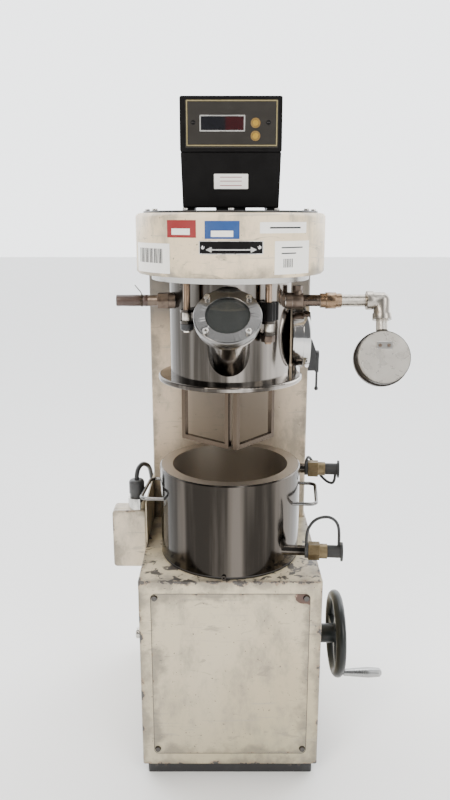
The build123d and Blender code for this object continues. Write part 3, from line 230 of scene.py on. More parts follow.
def enamel(name, color, edges, chip, reach, worn=()):
    """Old cream enamel: stained, scratched, and chipped to dark metal along its edges.

    A worn place is (axis, low, high) ranges, the grain of its chips and how many there are.
    """
    m = Paint(name, color, 0.4, coat_weight=0.1, coat_roughness=0.25)
    stain = m.spread(m.noise(5.0, 3.0, (1, 1, 0.6)), 0.40, 0.68, 0.0, 0.7)
    m.tint(stain, (color[0] * 0.84, color[1] * 0.78, color[2] * 0.68))
    olive = m.spread(m.noise(3.2, 2.0, (1, 1, 1), 0.4), 0.5, 0.7, 0.0, 0.6)
    m.tint(olive, (color[0] * 0.88, color[1] * 0.92, color[2] * 0.78))
    grime = m.spread(m.noise(22.0, 9.0, (1, 1, 0.5), 0.7), 0.455, 0.67, 0.0, 0.7)
    m.tint(grime, (0.27, 0.235, 0.18))
    smudge = m.spread(m.noise(48.0, 5.0, (0.5, 0.5, 1.4), 0.65, 1.2), 0.585, 0.68, 0.0, 0.55)
    m.tint(smudge, (0.22, 0.19, 0.15))
    scratch = m.spread(m.noise(34.0, 2.0, (0.22, 0.22, 5.0), 0.4, 2.2), 0.67, 0.70, 0.0, 0.5)
    m.tint(scratch, (0.36, 0.32, 0.26))
    speck = m.spread(m.noise(260.0, 3.0, (1, 1, 1), 0.5), 0.70, 0.725)
    m.tint(speck, (0.09, 0.075, 0.06))
    # Darker and greyer towards the bottom, fading out by 0.24 m
    foot = m.spread(m.axis("z"), 0.0, 0.24, 0.3, 0.0)
    m.tint(foot, (0.30, 0.285, 0.22))
    near = m.edge(*edges)
    blots = m.noise(20.0, 7.0, (1, 1, 1), 0.65)
    dirt = m.math("SUBTRACT", blots, m.math("MULTIPLY", near, 13.0))
    m.tint(m.spread(dirt, 0.30, 0.54, 0.0, 0.75), (0.17, 0.15, 0.115))
    flakes = m.noise(52.0, 8.0, (1, 1, 1), 0.62)
    ragged = m.math("SUBTRACT", flakes, m.math("MULTIPLY", near, reach))
    rust = m.spread(ragged, chip - 0.05, chip - 0.01, 0.0, 0.75)
    m.tint(rust, (0.28, 0.19, 0.12))
    bare = m.spread(ragged, chip, chip + 0.015)
    m.tint(bare, (0.075, 0.07, 0.065))
    m.rough(m.spread(bare, 0.0, 1.0, 0.4, 0.62))
    m.bump(bare, -0.0003)
    for ranges, grain, share, chip_color in worn:
        place = 1.0
        for letter, low, high in ranges:
            place = m.math("MULTIPLY", place, m.within(letter, low, high, 0.01))
        level = m.math("MULTIPLY", place, m.noise(grain, 6.0, (1, 1, 1), 0.6, 0.6))
        m.tint(m.spread(level, share - 0.03, share), tuple(c * 2.2 for c in chip_color))
        m.tint(m.spread(level, share, share + 0.02), chip_color)
    m.bump(m.noise(420.0, 3.0), 0.00006)
    m.bump(m.noise(9.0, 2.0), 0.0006, 0.5)
    return m


def steel(name, color, rough, lines, wobble, haze=0.12):
    """Polished or turned metal with fine lines and a slightly uneven surface."""
    m = Paint(name, color, rough, 1.0)
    smear = m.spread(m.noise(14.0, 6.0, (1, 1, 0.4), 0.6), 0.4, 0.75, rough, rough + haze)
    m.rough(smear)
    m.tint(m.spread(m.noise(22.0, 5.0), 0.5, 0.8, 0.0, 0.35), tuple(c * 0.72 for c in color))
    m.bump(m.noise(1.0, 3.0, lines), 0.00008, 0.35)
    m.bump(m.noise(16.0, 2.0), wobble, 0.6)
    return m.mat


def streaked(name, dark, light, rough, grain, inside):
    """Dark polished sheet with light upright streaks painted into its colour as reflection bands, and a duller
    grey inside of a radius.
    """
    m = Paint(name, dark, rough, 1.0)
    # Painted reflections: upright light streaks standing in for the bright and dark bands the room throws on
    # polished steel
    m.tint(m.spread(m.noise(grain, 3.0, (1, 1, 0.03), 0.55, 0.3), 0.47, 0.62), light)
    m.tint(m.spread(m.noise(90.0, 4.0, (1, 1, 0.05), 0.6), 0.45, 0.8, 0.0, 0.5), tuple(c * 0.6 for c in light))
    gloss = m.spread(m.noise(14.0, 6.0, (1, 1, 0.4), 0.6), 0.4, 0.75, rough, rough + 0.1)
    if inside:
        x, y = m.axis("x"), m.axis("y")
        square = m.math("ADD", m.math("MULTIPLY", x, x), m.math("MULTIPLY", y, y))
        inner = m.math("LESS_THAN", square, inside * inside)
        m.tint(inner, (0.40, 0.355, 0.30))
        gloss = m.math("ADD", gloss, m.math("MULTIPLY", inner, 0.26))
    m.rough(gloss)
    m.bump(m.noise(1.0, 3.0, (3, 3, 300)), 0.00008, 0.35)
    m.bump(m.noise(16.0, 2.0), 0.0006, 0.6)
    return m.mat


def plain(name, color, rough, grain, depth, dust=0.12, metal=0.0, **sockets):
    """Moulded plastic, rubber or paint with a fine grain and some dust."""
    m = Paint(name, color, rough, metal, **sockets)
    lighter = tuple(min(1.0, c * 1.6 + 0.035) for c in color)
    m.tint(m.spread(m.noise(38.0, 7.0, (1, 1, 1), 0.65), 0.5, 0.85, 0.0, dust * 3), lighter)
    m.rough(m.spread(m.noise(60.0, 4.0), 0.3, 0.8, max(0.05, rough - 0.08), rough + 0.1))
    m.bump(m.noise(grain, 3.0), depth)
    return m.mat


# Materials
CREAM = (0.555, 0.475, 0.33)
base_edges = (
    (("y", BASE_FRONT), ("z", BASE_TOP)),
    (("x", BASE_SIDE), ("z", BASE_TOP)),
    (("x", BASE_SIDE), ("y", BASE_FRONT)),
    (("y", BASE_FRONT), ("z", BASE_FOOT)),
    (("x", BASE_SIDE), ("z", BASE_FOOT)),
)
top_wear = [
    ((("z", 0.288, 0.32), ("y", -0.11, -0.078)), 75.0, 0.535, (0.05, 0.043, 0.036)),
    ((("z", 0.288, 0.32), ("y", -0.09, 0.03)), 60.0, 0.575, (0.055, 0.047, 0.038)),
]
base_paint = enamel("base_paint", CREAM, base_edges, 0.52, 24.0, top_wear).mat
cover_edges = (
    (("x", COVER_SIDE), ("y", BASE_FRONT)),
    (("z", COVER_LOW), ("y", BASE_FRONT)),
    (("z", COVER_HIGH), ("y", BASE_FRONT)),
)
corner_wear = [((("x", 0.082, 0.125), ("z", 0.262, 0.31)), 45.0, 0.35, (0.075, 0.035, 0.022))]
cover_paint = enamel("cover_paint", CREAM, cover_edges, 0.585, 36.0, corner_wear).mat
column_edges = ((("x", COLUMN_SIDE), ("y", COLUMN_FRONT)), (("x", COLUMN_SIDE), ("z", BASE_TOP)))
column = enamel("column_paint", (0.62, 0.49, 0.35), column_edges, 0.6, 45.0)
# Painted shade: a brownish band behind the can, where the hood's shade falls on the column
column.painted_shade_band(0.095, 0.555, (0.15, 0.12, 0.09), 0.84, 0.12)
# Painted shadow of the head: the column's colour darkens above about 0.6 m
column.painted_shade_band(0.3, 0.60, (0.11, 0.104, 0.094), 0.0, 0.82)
column_paint = column.mat
head_edges = ((("z", HEAD_LOW), ("z", HEAD_LOW)),)
# The head's cream is a lighter copy of the same enamel: painted light falling from above
head = enamel("head_paint", (0.80, 0.645, 0.45), head_edges, 0.66, 60.0)
head_paint = head.bare_metal(0.67, 0.6866, (0.42, 0.41, 0.39), 0.25).mat
box_edges = (
    (("z", BOX_TOP), ("y", BOX_FRONT)),
    (("x", BOX_SIDE), ("y", BOX_FRONT)),
    (("x", BOX_SIDE), ("z", BOX_TOP)),
)
box = enamel("box_paint", (0.68, 0.585, 0.45), box_edges, 0.53, 50.0)
box_paint = box.bare_metal(0.3505, 0.38, (0.62, 0.60, 0.56), 0.22).mat
black_paint = plain("black_paint", (0.016, 0.016, 0.017), 0.4, 260.0, 0.00008, 0.1)
# Hood and can: dark steel whose light streaks are painted reflections
hood_steel = streaked("hood_steel", (0.05, 0.044, 0.038), (0.34, 0.31, 0.28), 0.09, 19.0, 0.0)
can_steel = streaked("can_steel", (0.02, 0.0175, 0.015), (0.105, 0.092, 0.08), 0.12, 21.0, 0.0945)
ring_steel = steel("ring_steel", (0.19, 0.185, 0.18), 0.2, (40, 40, 40), 0.0001)
bar_steel = steel("bar_steel", (0.08, 0.06, 0.044), 0.22, (60, 60, 6), 0.0002)
turned_steel = steel("turned_steel", (0.52, 0.50, 0.47), 0.24, (120, 120, 120), 0.0001)
gear_steel = steel("gear_steel", (0.30, 0.28, 0.25), 0.35, (100, 100, 100), 0.0001)
chrome = steel("chrome", (0.55, 0.54, 0.53), 0.08, (20, 20, 20), 0.0002, 0.08)
alloy = steel("alloy", (0.62, 0.62, 0.62), 0.3, (100, 100, 100), 0.0001)
motor_paint = plain("motor_paint", (0.05, 0.055, 0.06), 0.5, 200.0, 0.0002)
wheel_paint = plain("wheel_paint", (0.005, 0.0065, 0.006), 0.36, 90.0, 0.0002, 0.03, coat_weight=0.06,
                    specular_ior_level=0.3)
black_case = plain("black_case", (0.004, 0.0036, 0.0036), 0.45, 900.0, 0.00004, 0.01, specular_ior_level=0.12)
case_face = plain("case_face", (0.020, 0.0175, 0.0145), 0.5, 700.0, 0.00003, 0.04, specular_ior_level=0.25)
rubber = plain("rubber", (0.014, 0.014, 0.014), 0.55, 300.0, 0.0001, 0.12)
hose_rubber = plain("hose_rubber", (0.045, 0.022, 0.014), 0.42, 120.0, 0.0002, 0.3)
nylon = plain("nylon", (0.022, 0.022, 0.022), 0.42, 300.0, 0.0001, 0.15)
elbow_metal = steel("elbow_metal", (0.36, 0.33, 0.29), 0.24, (60, 60, 60), 0.0003)


def gauge_case():
    """Dull silver case of the pipe's gauge, darker round its edge."""
    m = Paint("gauge_case", (0.60, 0.565, 0.51), 0.3, 0.6)
    m.tint(m.spread(m.noise(30.0, 7.0, (1, 1, 1), 0.65), 0.5, 0.8, 0.0, 0.5), (0.36, 0.33, 0.29))
    away = m.vector("SUBTRACT", m.place, GAUGE_CENTRE * MM)["Vector"]
    radius = m.vector("LENGTH", m.vector("CROSS_PRODUCT", away, GAUGE_OUT)["Vector"])["Value"]
    edge = m.math("MULTIPLY", m.spread(radius, 0.0322, 0.0335), m.spread(radius, 0.0358, 0.0364, 1.0, 0.0))
    m.tint(edge, (0.05, 0.043, 0.036))
    m.rough(m.spread(m.noise(60.0, 4.0), 0.3, 0.8, 0.24, 0.4))
    m.bump(m.noise(60.0, 3.0), 0.0002)
    return m.mat


case_silver = gauge_case()
khaki = plain("khaki", (0.24, 0.195, 0.085), 0.45, 400.0, 0.00002, 0.05)
silver = plain("silver", (0.62, 0.61, 0.58), 0.3, 300.0, 0.00002, 0.05, metal=0.7)
red_label = plain("red_label", (0.24, 0.014, 0.014), 0.42, 200.0, 0.00003, 0.1)
blue_label = plain("blue_label", (0.012, 0.055, 0.20), 0.42, 200.0, 0.00003, 0.1)
white_label = plain("white_label", (0.86, 0.84, 0.79), 0.45, 200.0, 0.00003, 0.0)
grey_bars = plain("grey_bars", (0.02, 0.02, 0.022), 0.55, 200.0, 0.00002, 0.0, specular_ior_level=0.15)
dial_white = plain("dial_white", (0.82, 0.8, 0.74), 0.5, 300.0, 0.00002, 0.0)
gold = plain("gold", (0.34, 0.20, 0.022), 0.4, 300.0, 0.00003, 0.0, coat_weight=0.2)
gold_ring = plain("gold_ring", (0.20, 0.12, 0.03), 0.4, 300.0, 0.00003, 0.0)
red_window = plain("red_window", (0.026, 0.003, 0.004), 0.12, 90.0, 0.00001, 0.0, coat_weight=0.6)
black_window = plain("black_window", (0.006, 0.006, 0.008), 0.1, 90.0, 0.00001, 0.0, coat_weight=0.6)
dark_seam = plain("dark_seam", (0.02, 0.018, 0.016), 0.6, 200.0, 0.0001, 0.2)


def mixed_metal(name, parts, base, rough):
    """Metal whose finish changes along an axis: parts are (axis, low, high, colour)."""
    m = Paint(name, base, rough, 1.0)
    for letter, low, high, color in parts:
        m.tint(m.within(letter, low, high), color)
    m.tint(m.spread(m.noise(120.0, 6.0), 0.5, 0.75, 0.0, 0.7), tuple(c * 0.45 for c in base))
    m.rough(m.spread(m.noise(90.0, 4.0), 0.35, 0.75, rough, rough + 0.2))
    m.bump(m.noise(300.0, 3.0), 0.0001)
    return m.mat


brass = mixed_metal("brass", [], (0.15, 0.115, 0.066), 0.38)
dark_fitting = mixed_metal("dark_fitting", [], (0.13, 0.10, 0.08), 0.34)
pipe_metal = mixed_metal(
    "pipe_metal", [("x", 0.0, 0.114, (0.10, 0.075, 0.06)), ("x", 0.114, 0.141, (0.20, 0.135, 0.085))],
    (0.38, 0.345, 0.30), 0.2)
stud_metal = mixed_metal(
    "stud_metal", [("z", 0.6344, 0.6444, (0.66, 0.62, 0.55)), ("z", 0.6204, 0.6304, (0.66, 0.62, 0.55))],
    (0.24, 0.17, 0.12), 0.28)
screw_metal = steel("screw_metal", (0.085, 0.08, 0.075), 0.2, (60, 60, 60), 0.0001)
satin = steel("satin", (0.34, 0.34, 0.335), 0.26, (8, 60, 60), 0.0002)


def glass(name, color, rough=0.03, clear=1.0):
    m = Paint(name, color, rough, 0.0, transmission_weight=clear, ior=1.46)
    m.rough(m.spread(m.noise(30.0, 5.0), 0.45, 0.8, rough, rough + 0.08))
    m.bump(m.noise(20.0, 2.0), 0.00005, 0.4)
    return m.mat


window_glass = glass("window_glass", (0.07, 0.075, 0.072), 0.05, 0.5)
lens_glass = glass("lens_glass", (0.95, 0.97, 0.96))

looks = {
    base_paint: "base_housing",
    cover_paint: "front_cover",
    column_paint: "column_shroud",
    head_paint: "head_housing",
    box_paint: "junction_box",
    black_paint: "plinth lever_bracket clamp_lever head_cover hanger_nut",
    hood_steel: "hood",
    can_steel: "can_shell",
    ring_steel: "sight_ring can_handles",
    bar_steel: "stirrer_left stirrer_right",
    screw_metal: "base_screws",
    turned_steel: "head_screws guide_rods shaft_bearings wheel_shaft lift_shaft lift_carriage"
                  " planet_carrier carrier_lid drive_shaft sun_hub",
    chrome: "side_gauge",
    satin: "crank_grip",
    alloy: "driven_pulley motor_pulley",
    motor_paint: "drive_motor",
    wheel_paint: "handwheel",
    black_case: "tach_base tach_case star_knob",
    rubber: "drive_belt lower_plug upper_plug plug_straps supply_cable",
    hose_rubber: "vacuum_hose",
    nylon: "cord_grip",
    elbow_metal: "gauge_elbow",
    case_silver: "pipe_gauge",
    brass: "can_couplers",
    dark_fitting: "vacuum_tee hose_fitting",
    pipe_metal: "gauge_pipe",
    stud_metal: "hanger_studs",
    gold: "button_up button_down",
    window_glass: "sight_glass",
    lens_glass: "pipe_gauge_lens side_gauge_lens",
    gear_steel: "lift_gear planet_left planet_right pipe_gauge_needle side_gauge_needle",
}
for material, names in looks.items():
    for name in names.split():
        for material_slot in nodes[name].material_slots:
            material_slot.material = material

# Broken edges on the machined and folded pieces
bevels = {
    0.9: "base_housing column_shroud head_cover tach_base plinth",
    0.5: "front_cover head_housing tach_case lever_bracket clamp_lever junction_box cord_grip lift_carriage"
         " shaft_bearings",
    0.4: "stirrer_left stirrer_right sight_ring can_couplers gauge_elbow gauge_pipe vacuum_tee hose_fitting"
         " star_knob lower_plug upper_plug side_gauge pipe_gauge hanger_studs crank_grip",
    0.3: "base_screws head_screws handwheel",
}
for width, names in bevels.items():
    for name in names.split():
        obj = nodes[name]
        weld = obj.modifiers.new("weld", "WELD")
        weld.merge_threshold = 0.00001
        bevel = obj.modifiers.new("broken_edge", "BEVEL")
        bevel.width = width * MM
        bevel.segments = 2
        bevel.limit_method = "ANGLE"
        bevel.angle_limit = math.radians(50)
        bevel.use_clamp_overlap = True


def finish_mesh(name, bm, material, body, angle=35):
    """A mesh piece from a bmesh, with its material, on its body."""
    bmesh.ops.recalc_face_normals(bm, faces=bm.faces)
    mesh = bpy.data.meshes.new(name)
    bm.to_mesh(mesh)
    bm.free()
    obj = bpy.data.objects.new(name, mesh)
    bpy.context.collection.objects.link(obj)
    mesh.materials.append(material)
    for face in mesh.polygons:
        face.use_smooth = True
    mesh.set_sharp_from_angle(angle=math.radians(angle))
    if body:
        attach(obj, body)
    return obj


def soften(obj, width):
    """Breaks the sharp edges of a piece."""
    bevel = obj.modifiers.new("broken_edge", "BEVEL")
    bevel.width = width * MM
    bevel.segments = 2
    bevel.limit_method = "ANGLE"
    bevel.angle_limit = math.radians(40)
    return obj


def basis(origin, across, normal):
    """A place on a plane: its matrix takes (across, up, out) in millimetres to the row frame."""
    z = Vector(normal).normalized()
    x = Vector(across).normalized()
    y = z.cross(x)
    m = Matrix((x, y, z)).transposed().to_4x4()
    m.translation = Vector(origin) * MM
    return m @ Matrix.Scale(MM, 4)


def lathe(name, profile, place, material, body, steps=72):
    """A turned piece: (radius, height) points round the place's normal."""
    bm = bmesh.new()
    rings = []
    for r, h in profile:
        if r <= 0:
            rings.append([bm.verts.new(place @ Vector((0, 0, h)))])
            continue
        rings.append([
            bm.verts.new(place @ Vector((r * math.cos(a), r * math.sin(a), h)))
            for a in (2 * math.pi * n / steps for n in range(steps))
        ])
    for a, b in zip(rings, rings[1:]):
        for n in range(steps):
            corners = [a[n % len(a)], a[(n + 1) % len(a)], b[(n + 1) % len(b)], b[n % len(b)]]
            bm.faces.new(list(dict.fromkeys(corners)))
    for ring in (rings[0], rings[-1]):
        if len(ring) > 2:
            bm.faces.new(ring)
    return finish_mesh(name, bm, material, body)


def slab(name, points, low, high, place, material, body, bevel=0.0):
    """A flat piece from an outline in (across, up), between two heights."""
    bm = bmesh.new()
    bottom = [bm.verts.new(place @ Vector((x, y, low))) for x, y in points]
    top = [bm.verts.new(place @ Vector((x, y, high))) for x, y in points]
    bm.faces.new(bottom)
    bm.faces.new(top)
    for n in range(len(points)):
        m = (n + 1) % len(points)
        bm.faces.new((bottom[n], bottom[m], top[m], top[n]))
    obj = finish_mesh(name, bm, material, body)
    return soften(obj, bevel) if bevel else obj


def box_points(x0, x1, y0, y1, r=0.0):
    """A rectangle's outline with round corners."""
    if r <= 0:
        return [(x0, y0), (x1, y0), (x1, y1), (x0, y1)]
    out = []
    steps = 5
    corners = ((x1 - r, y1 - r, 0), (x0 + r, y1 - r, 90), (x0 + r, y0 + r, 180), (x1 - r, y0 + r, 270))
    for cx, cy, start in corners:
        for n in range(steps + 1):
            a = math.radians(start + 90 * n / steps)
            out.append((cx + r * math.cos(a), cy + r * math.sin(a)))
    return out


def rim(name, outer, inner, low, high, place, material, body):
    """A flat frame between two outlines with as many points each."""
    bm = bmesh.new()
    loops = [
        [bm.verts.new(place @ Vector((x, y, h))) for x, y in pts]
        for pts, h in ((outer, low), (outer, high), (inner, high), (inner, low))
    ]
    count = len(outer)
    for a, b in zip(loops, loops[1:] + loops[:1]):
        for n in range(count):
            m = (n + 1) % count
            bm.faces.new((a[n], a[m], b[m], b[n]))
    return finish_mesh(name, bm, material, body)


def wrap(name, x0, x1, z0, z1, material, low=0.0, high=0.25):
    """A label on the head's round front, from x0 to x1 across and z0 to z1 up."""
    a0, a1 = math.asin(x0 / HEAD_RADIUS), math.asin(x1 / HEAD_RADIUS)
    count = max(4, int(abs(a1 - a0) * 40))
    bm = bmesh.new()
    grid = []
    for depth in (HEAD_RADIUS + low, HEAD_RADIUS + high):
        grid.append([
            [
                bm.verts.new(Vector((depth * math.sin(a), -depth * math.cos(a), z)) * MM)
                for z in (z0, z1)
            ]
            for a in (a0 + (a1 - a0) * n / count for n in range(count + 1))
        ])
    back, face = grid
    for n in range(count):
        bm.faces.new((face[n][0], face[n + 1][0], face[n + 1][1], face[n][1]))
        bm.faces.new((back[n][0], back[n][1], back[n + 1][1], back[n + 1][0]))
        for k in (0, 1):
            bm.faces.new((face[n][k], face[n + 1][k], back[n + 1][k], back[n][k]))
    for n in (0, count):
        bm.faces.new((face[n][0], face[n][1], back[n][1], back[n][0]))
    return finish_mesh(name, bm, material, "head", angle=60)


def tube(name, points, radius, material, body=None):
    """A round piece along a smooth line through control points in millimetres."""
    curve = bpy.data.curves.new(name, "CURVE")
    curve.dimensions = "3D"
    curve.bevel_depth = radius * MM
    curve.bevel_resolution = 6
    curve.use_fill_caps = True
    curve.resolution_u = 12
    spline = curve.splines.new("NURBS")
    spline.points.add(len(points) - 1)
    for point, co in zip(spline.points, points):
        point.co = (co[0] * MM, co[1] * MM, co[2] * MM, 1.0)
    spline.order_u = 3
    spline.use_endpoint_u = True
    obj = bpy.data.objects.new(name, curve)
    bpy.context.collection.objects.link(obj)
    curve.materials.append(material)
    if body:
        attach(obj, body)
    return obj


def meshed(obj):
    """The curve's own mesh in its place, for pieces that bend."""
    bpy.context.view_layer.update()
    graph = bpy.context.evaluated_depsgraph_get()
    mesh = bpy.data.meshes.new_from_object(obj.evaluated_get(graph))
    name = obj.name
    material = obj.data.materials[0]
    bpy.data.objects.remove(obj)
    out = bpy.data.objects.new(name, mesh)
    bpy.context.collection.objects.link(out)
    if not mesh.materials:
        mesh.materials.append(material)
    return out


# Labels and the arrow plate on the head's round front
wrap("label_red", -73.9, -39.9, 733.0, 752.6, red_label)
wrap("label_red_panel", -68.5, -47.0, 736.2, 743.2, white_label, 0.2, 0.32)
wrap("label_blue", -30.0, 9.4, 731.9, 751.8, blue_label)
wrap("label_blue_panel", -22.8, 2.2, 734.2, 741.0, white_label, 0.2, 0.32)
wrap("label_long", 32.4, 88.3, 737.9, 750.4, white_label)
wrap("label_left", -114.8, -71.4, 691.4, 726.0, white_label)
wrap("label_right", 50.1, 92.5, 691.2, 729.2, white_label)
for n in range(16):
    left = -110.6 + n * 1.95
    wrap(f"label_left_bar_{n}", left, left + (1.3 if n % 3 else 0.8), 703.0, 720.0, grey_bars, 0.2, 0.32)
for n in range(8):
    left = 60.5 + n * 1.5
    wrap(f"label_right_bar_{n}", left, left + (0.9 if n % 2 else 0.6), 699.0, 709.0, grey_bars, 0.2, 0.32)
for n, (z, x1) in enumerate(((721.0, 84.0), (714.5, 76.0))):
    wrap(f"label_right_line_{n}", 58.0, x1, z, z + 1.4, grey_bars, 0.2, 0.32)
wrap("label_long_line", 44.0, 81.0, 743.2, 745.0, grey_bars, 0.2, 0.32)
wrap("arrow_plate", -36.5, 36.5, 714.7, 729.7, silver, 0.0, 0.7)
wrap("arrow_plate_face", -35.6, 35.6, 715.6, 729.0, black_case, 0.6, 0.85)
wrap("arrow_shaft", -22.0, 22.0, 719.2, 720.6, silver, 0.8, 1.0)
for side in (-1, 1):
    for n in range(7):
        x = side * (22.0 + n * 0.9)
        half = 3.0 * (1 - n / 7)
        wrap(f"arrow_head_{'lr'[side > 0]}{n}", min(x, x + side), max(x, x + side), 719.9 - half, 719.9 + half,
             silver, 0.8, 1.0)
    a = math.asin(32.0 * side / HEAD_RADIUS)
    outward = Vector((math.sin(a), -math.cos(a), 0))
    screw = basis(outward * 121.6 + Vector((0, 0, 722.6)), (math.cos(a), math.sin(a), 0), outward)
    lathe(f"arrow_screw_{'lr'[side > 0]}", [(2.1, 0), (2.1, 0.5), (1.2, 1.1), (0, 1.2)], screw, chrome, "head", 24)

# Dark seam round the base's cover
cover_face = basis((0, BASE_FRONT / MM, 0), (1, 0, 0), (0, -1, 0))
seam_outside = box_points(-104.6, 104.6, 36.4, 280.1, 6.6)
seam_inside = box_points(-103.9, 103.9, 37.1, 279.4, 5.9)
rim("cover_seam", seam_outside, seam_inside, -0.8, 0.06, cover_face, dark_seam, "base")

# Speed display: face, border, window, screws and button rings
face = basis((0, DISPLAY_FRONT, 0), (1, 0, 0), (0, -1, 0))
slab("display_face", box_points(-53.4, 55.2, 834.6, 888.0, 1.2), 0.0, 0.5, face, case_face, "head", 0.2)
rim("display_border", box_points(-52.1, 54.0, 836.8, 887.3), box_points(-50.9, 52.8, 838.0, 886.1), 0.4, 0.65,
    face, khaki, "head")
frame_outside = box_points(-36.6, 16.4, 852.9, 871.0, 0.8)
frame_inside = box_points(-35.2, 15.0, 854.3, 869.6, 0.4)
rim("window_frame", frame_outside, frame_inside, 0.4, 1.1, face, silver, "head")
slab("window_left", box_points(-35.4, -6.5, 854.1, 869.8), 0.35, 0.6, face, black_window, "head")
slab("window_right", box_points(-6.5, 15.2, 854.1, 869.8), 0.35, 0.6, face, red_window, "head")
for side, x in (("l", -44.2), ("r", 43.7)):
    spot = basis((x, DISPLAY_FRONT - 0.4, 862.8), (1, 0, 0), (0, -1, 0))
    lathe(f"display_screw_{side}", [(2.6, 0), (2.6, 0.5), (1.9, 1.1), (0, 1.3)], spot, black_case, "head", 28)
    slab(f"display_slot_{side}", box_points(-1.9, 1.9, -0.3, 0.3), 1.0, 1.36, spot, dark_seam, "head")
for name, z in (("up", 862.3), ("down", 848.0)):
    spot = basis((28.6, DISPLAY_FRONT - 0.4, z), (1, 0, 0), (0, -1, 0))
    profile = [(3.8, 0), (5.6, 0), (5.6, 0.5), (3.8, 0.5), (3.8, 0)]
    lathe(f"button_ring_{name}", profile, spot, gold_ring, "head", 40)
front = basis((0, CASE_FRONT, 0), (1, 0, 0), (0, -1, 0))
slab("case_sticker", box_points(-20.0, 20.4, 788.5, 805.6, 0.6), 0.0, 0.25, front, white_label, "head")
for n, z in enumerate((792.0, 797.0, 801.5)):
    slab(f"case_sticker_line_{n}", box_points(-13.0, 13.0, z, z + 0.8), 0.2, 0.32, front, red_label, "head")

# Nut under the right hanger stud
stud = basis((45.5, -82, 0), (1, 0, 0), (0, 0, 1))
hexagon = [(8.6 * math.cos(math.radians(60 * n)), 8.6 * math.sin(math.radians(60 * n))) for n in range(6)]
slab("stud_nut", hexagon, 608.6, 616.4, stud, dark_fitting, "head", 0.5)

# Dials of the two gauges, with marks and numbers
def dial(name, place, radius):
    """A white dial with its scale, from the zero mark's angle clockwise."""
    turn, sweep, marks = 225, 270, 30
    lathe(f"{name}_dial", [(0, 0), (radius, 0), (radius, 0.12), (0, 0.12)], place, dial_white, "head", 64)
    for n in range(marks + 1):
        a = math.radians(turn - sweep * n / marks)
        long = n % 5 == 0
        r0, half = radius - (6.5 if long else 4.2), 0.42 if long else 0.2
        x, y = math.cos(a), math.sin(a)
        pts = [(r * x + s * half * y, r * y - s * half * x)
               for r, s in ((r0, -1), (r0, 1), (radius - 1.6, 1), (radius - 1.6, -1))]
        slab(f"{name}_mark_{n}", pts, 0.1, 0.18, place, black_paint, "head")
    for n in range(7):
        a = math.radians(turn - sweep * n / 6)
        text = bpy.data.curves.new(f"{name}_number_{n}", "FONT")
        text.body = str(n * 5)
        text.size = 5.2
        text.align_x = "CENTER"
        text.align_y = "CENTER"
        text.extrude = 0.04
        obj = bpy.data.objects.new(f"{name}_number_{n}", text)
        bpy.context.collection.objects.link(obj)
        spot = Vector(((radius - 10.5) * math.cos(a), (radius - 10.5) * math.sin(a), 0.16))
        obj.matrix_world = place @ Matrix.Translation(spot)
        text.materials.append(black_paint)
        obj = meshed(obj)
        obj.data.transform(place @ Matrix.Translation(spot))
        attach(obj, "head")


pipe_face = basis(GAUGE_CENTRE + GAUGE_OUT * 2.55, (-1, 0, 0), GAUGE_OUT)
side_face = basis((92.85, 0, 604), (0, 1, 0), (1, 0, 0))
dial("pipe_gauge", pipe_face, 28.8)
dial("side_gauge", side_face, 36.3)

# Small plate with two screws on the pipe gauge's back
back = basis(GAUGE_CENTRE - GAUGE_OUT * GAUGE_BACK, (1, 0, 0), -GAUGE_OUT)
slab("gauge_plate", box_points(-10, 10, 9.5, 19.5, 1.5), 0.0, 1.4, back, turned_steel, "head", 0.4)
for side in (-1, 1):
    spot = back @ Matrix.Translation(Vector((side * 5.5, 14.5, 1.3)))
    profile = [(2.2, 0), (2.2, 0.8), (1.2, 1.6), (0, 1.7)]
    lathe(f"gauge_screw_{'lr'[side > 0]}", profile, spot, dark_fitting, "head", 24)

# Hose stub on its barb, with a wire clamp
hose_place = basis((-105, PORT_Y, PORT_Z), (0, 1, 0), (-1, 0, 0))
hose_outside = [(7.1, 0.2), (7.28, 1.2), (7.28, 5.0), (6.7, 6.6), (6.7, 9.6), (7.25, 11.4), (7.25, 22), (7.1, 33),
                (7.25, 39.4), (7.0, 39.9)]
hose_inside = [(5.2, 39.9), (5.02, 39.2), (5.02, 14), (5.7, 14), (5.7, 0.2)]
hose = lathe("hose_stub", [(5.7, 0.2)] + hose_outside + hose_inside, hose_place, hose_rubber, "head", 56)
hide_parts("vacuum_hose")
for n, h in enumerate((7.2, 8.8)):
    ring = [hose_place @ Vector((7.1 * math.cos(a), 7.1 * math.sin(a), h))
            for a in (2 * math.pi * k / 24 for k in range(25))]
    tube(f"clamp_wire_{n}", [p / MM for p in ring], 0.75, bar_steel, "head")
tail = [(-112.5, PORT_Y, 660.2), (-113.5, -31, 663.5), (-117, -33, 668.0), (-121, -34, 673.0)]
tube("clamp_tail", tail, 0.6, bar_steel, "head")

# Supply cable in one smooth line
cable_line = [
    (-133.5, 23, 386.5),
    (-133.5, 23.5, 397),
    (-132.0, 32, 406),
    (-128.0, 50, 406.5),
    (-125.6, 70, 399),
    (-124.4, 96, 388),
    (-124.4, 130, 368),
    (-125.0, 160, 330),
    (-128.0, 184, 288),
    (-130, 195, 250),
    (-130, 195, 220),
]
cable = tube("cable", cable_line, 3.3, rubber, "base")
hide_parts("supply_cable")

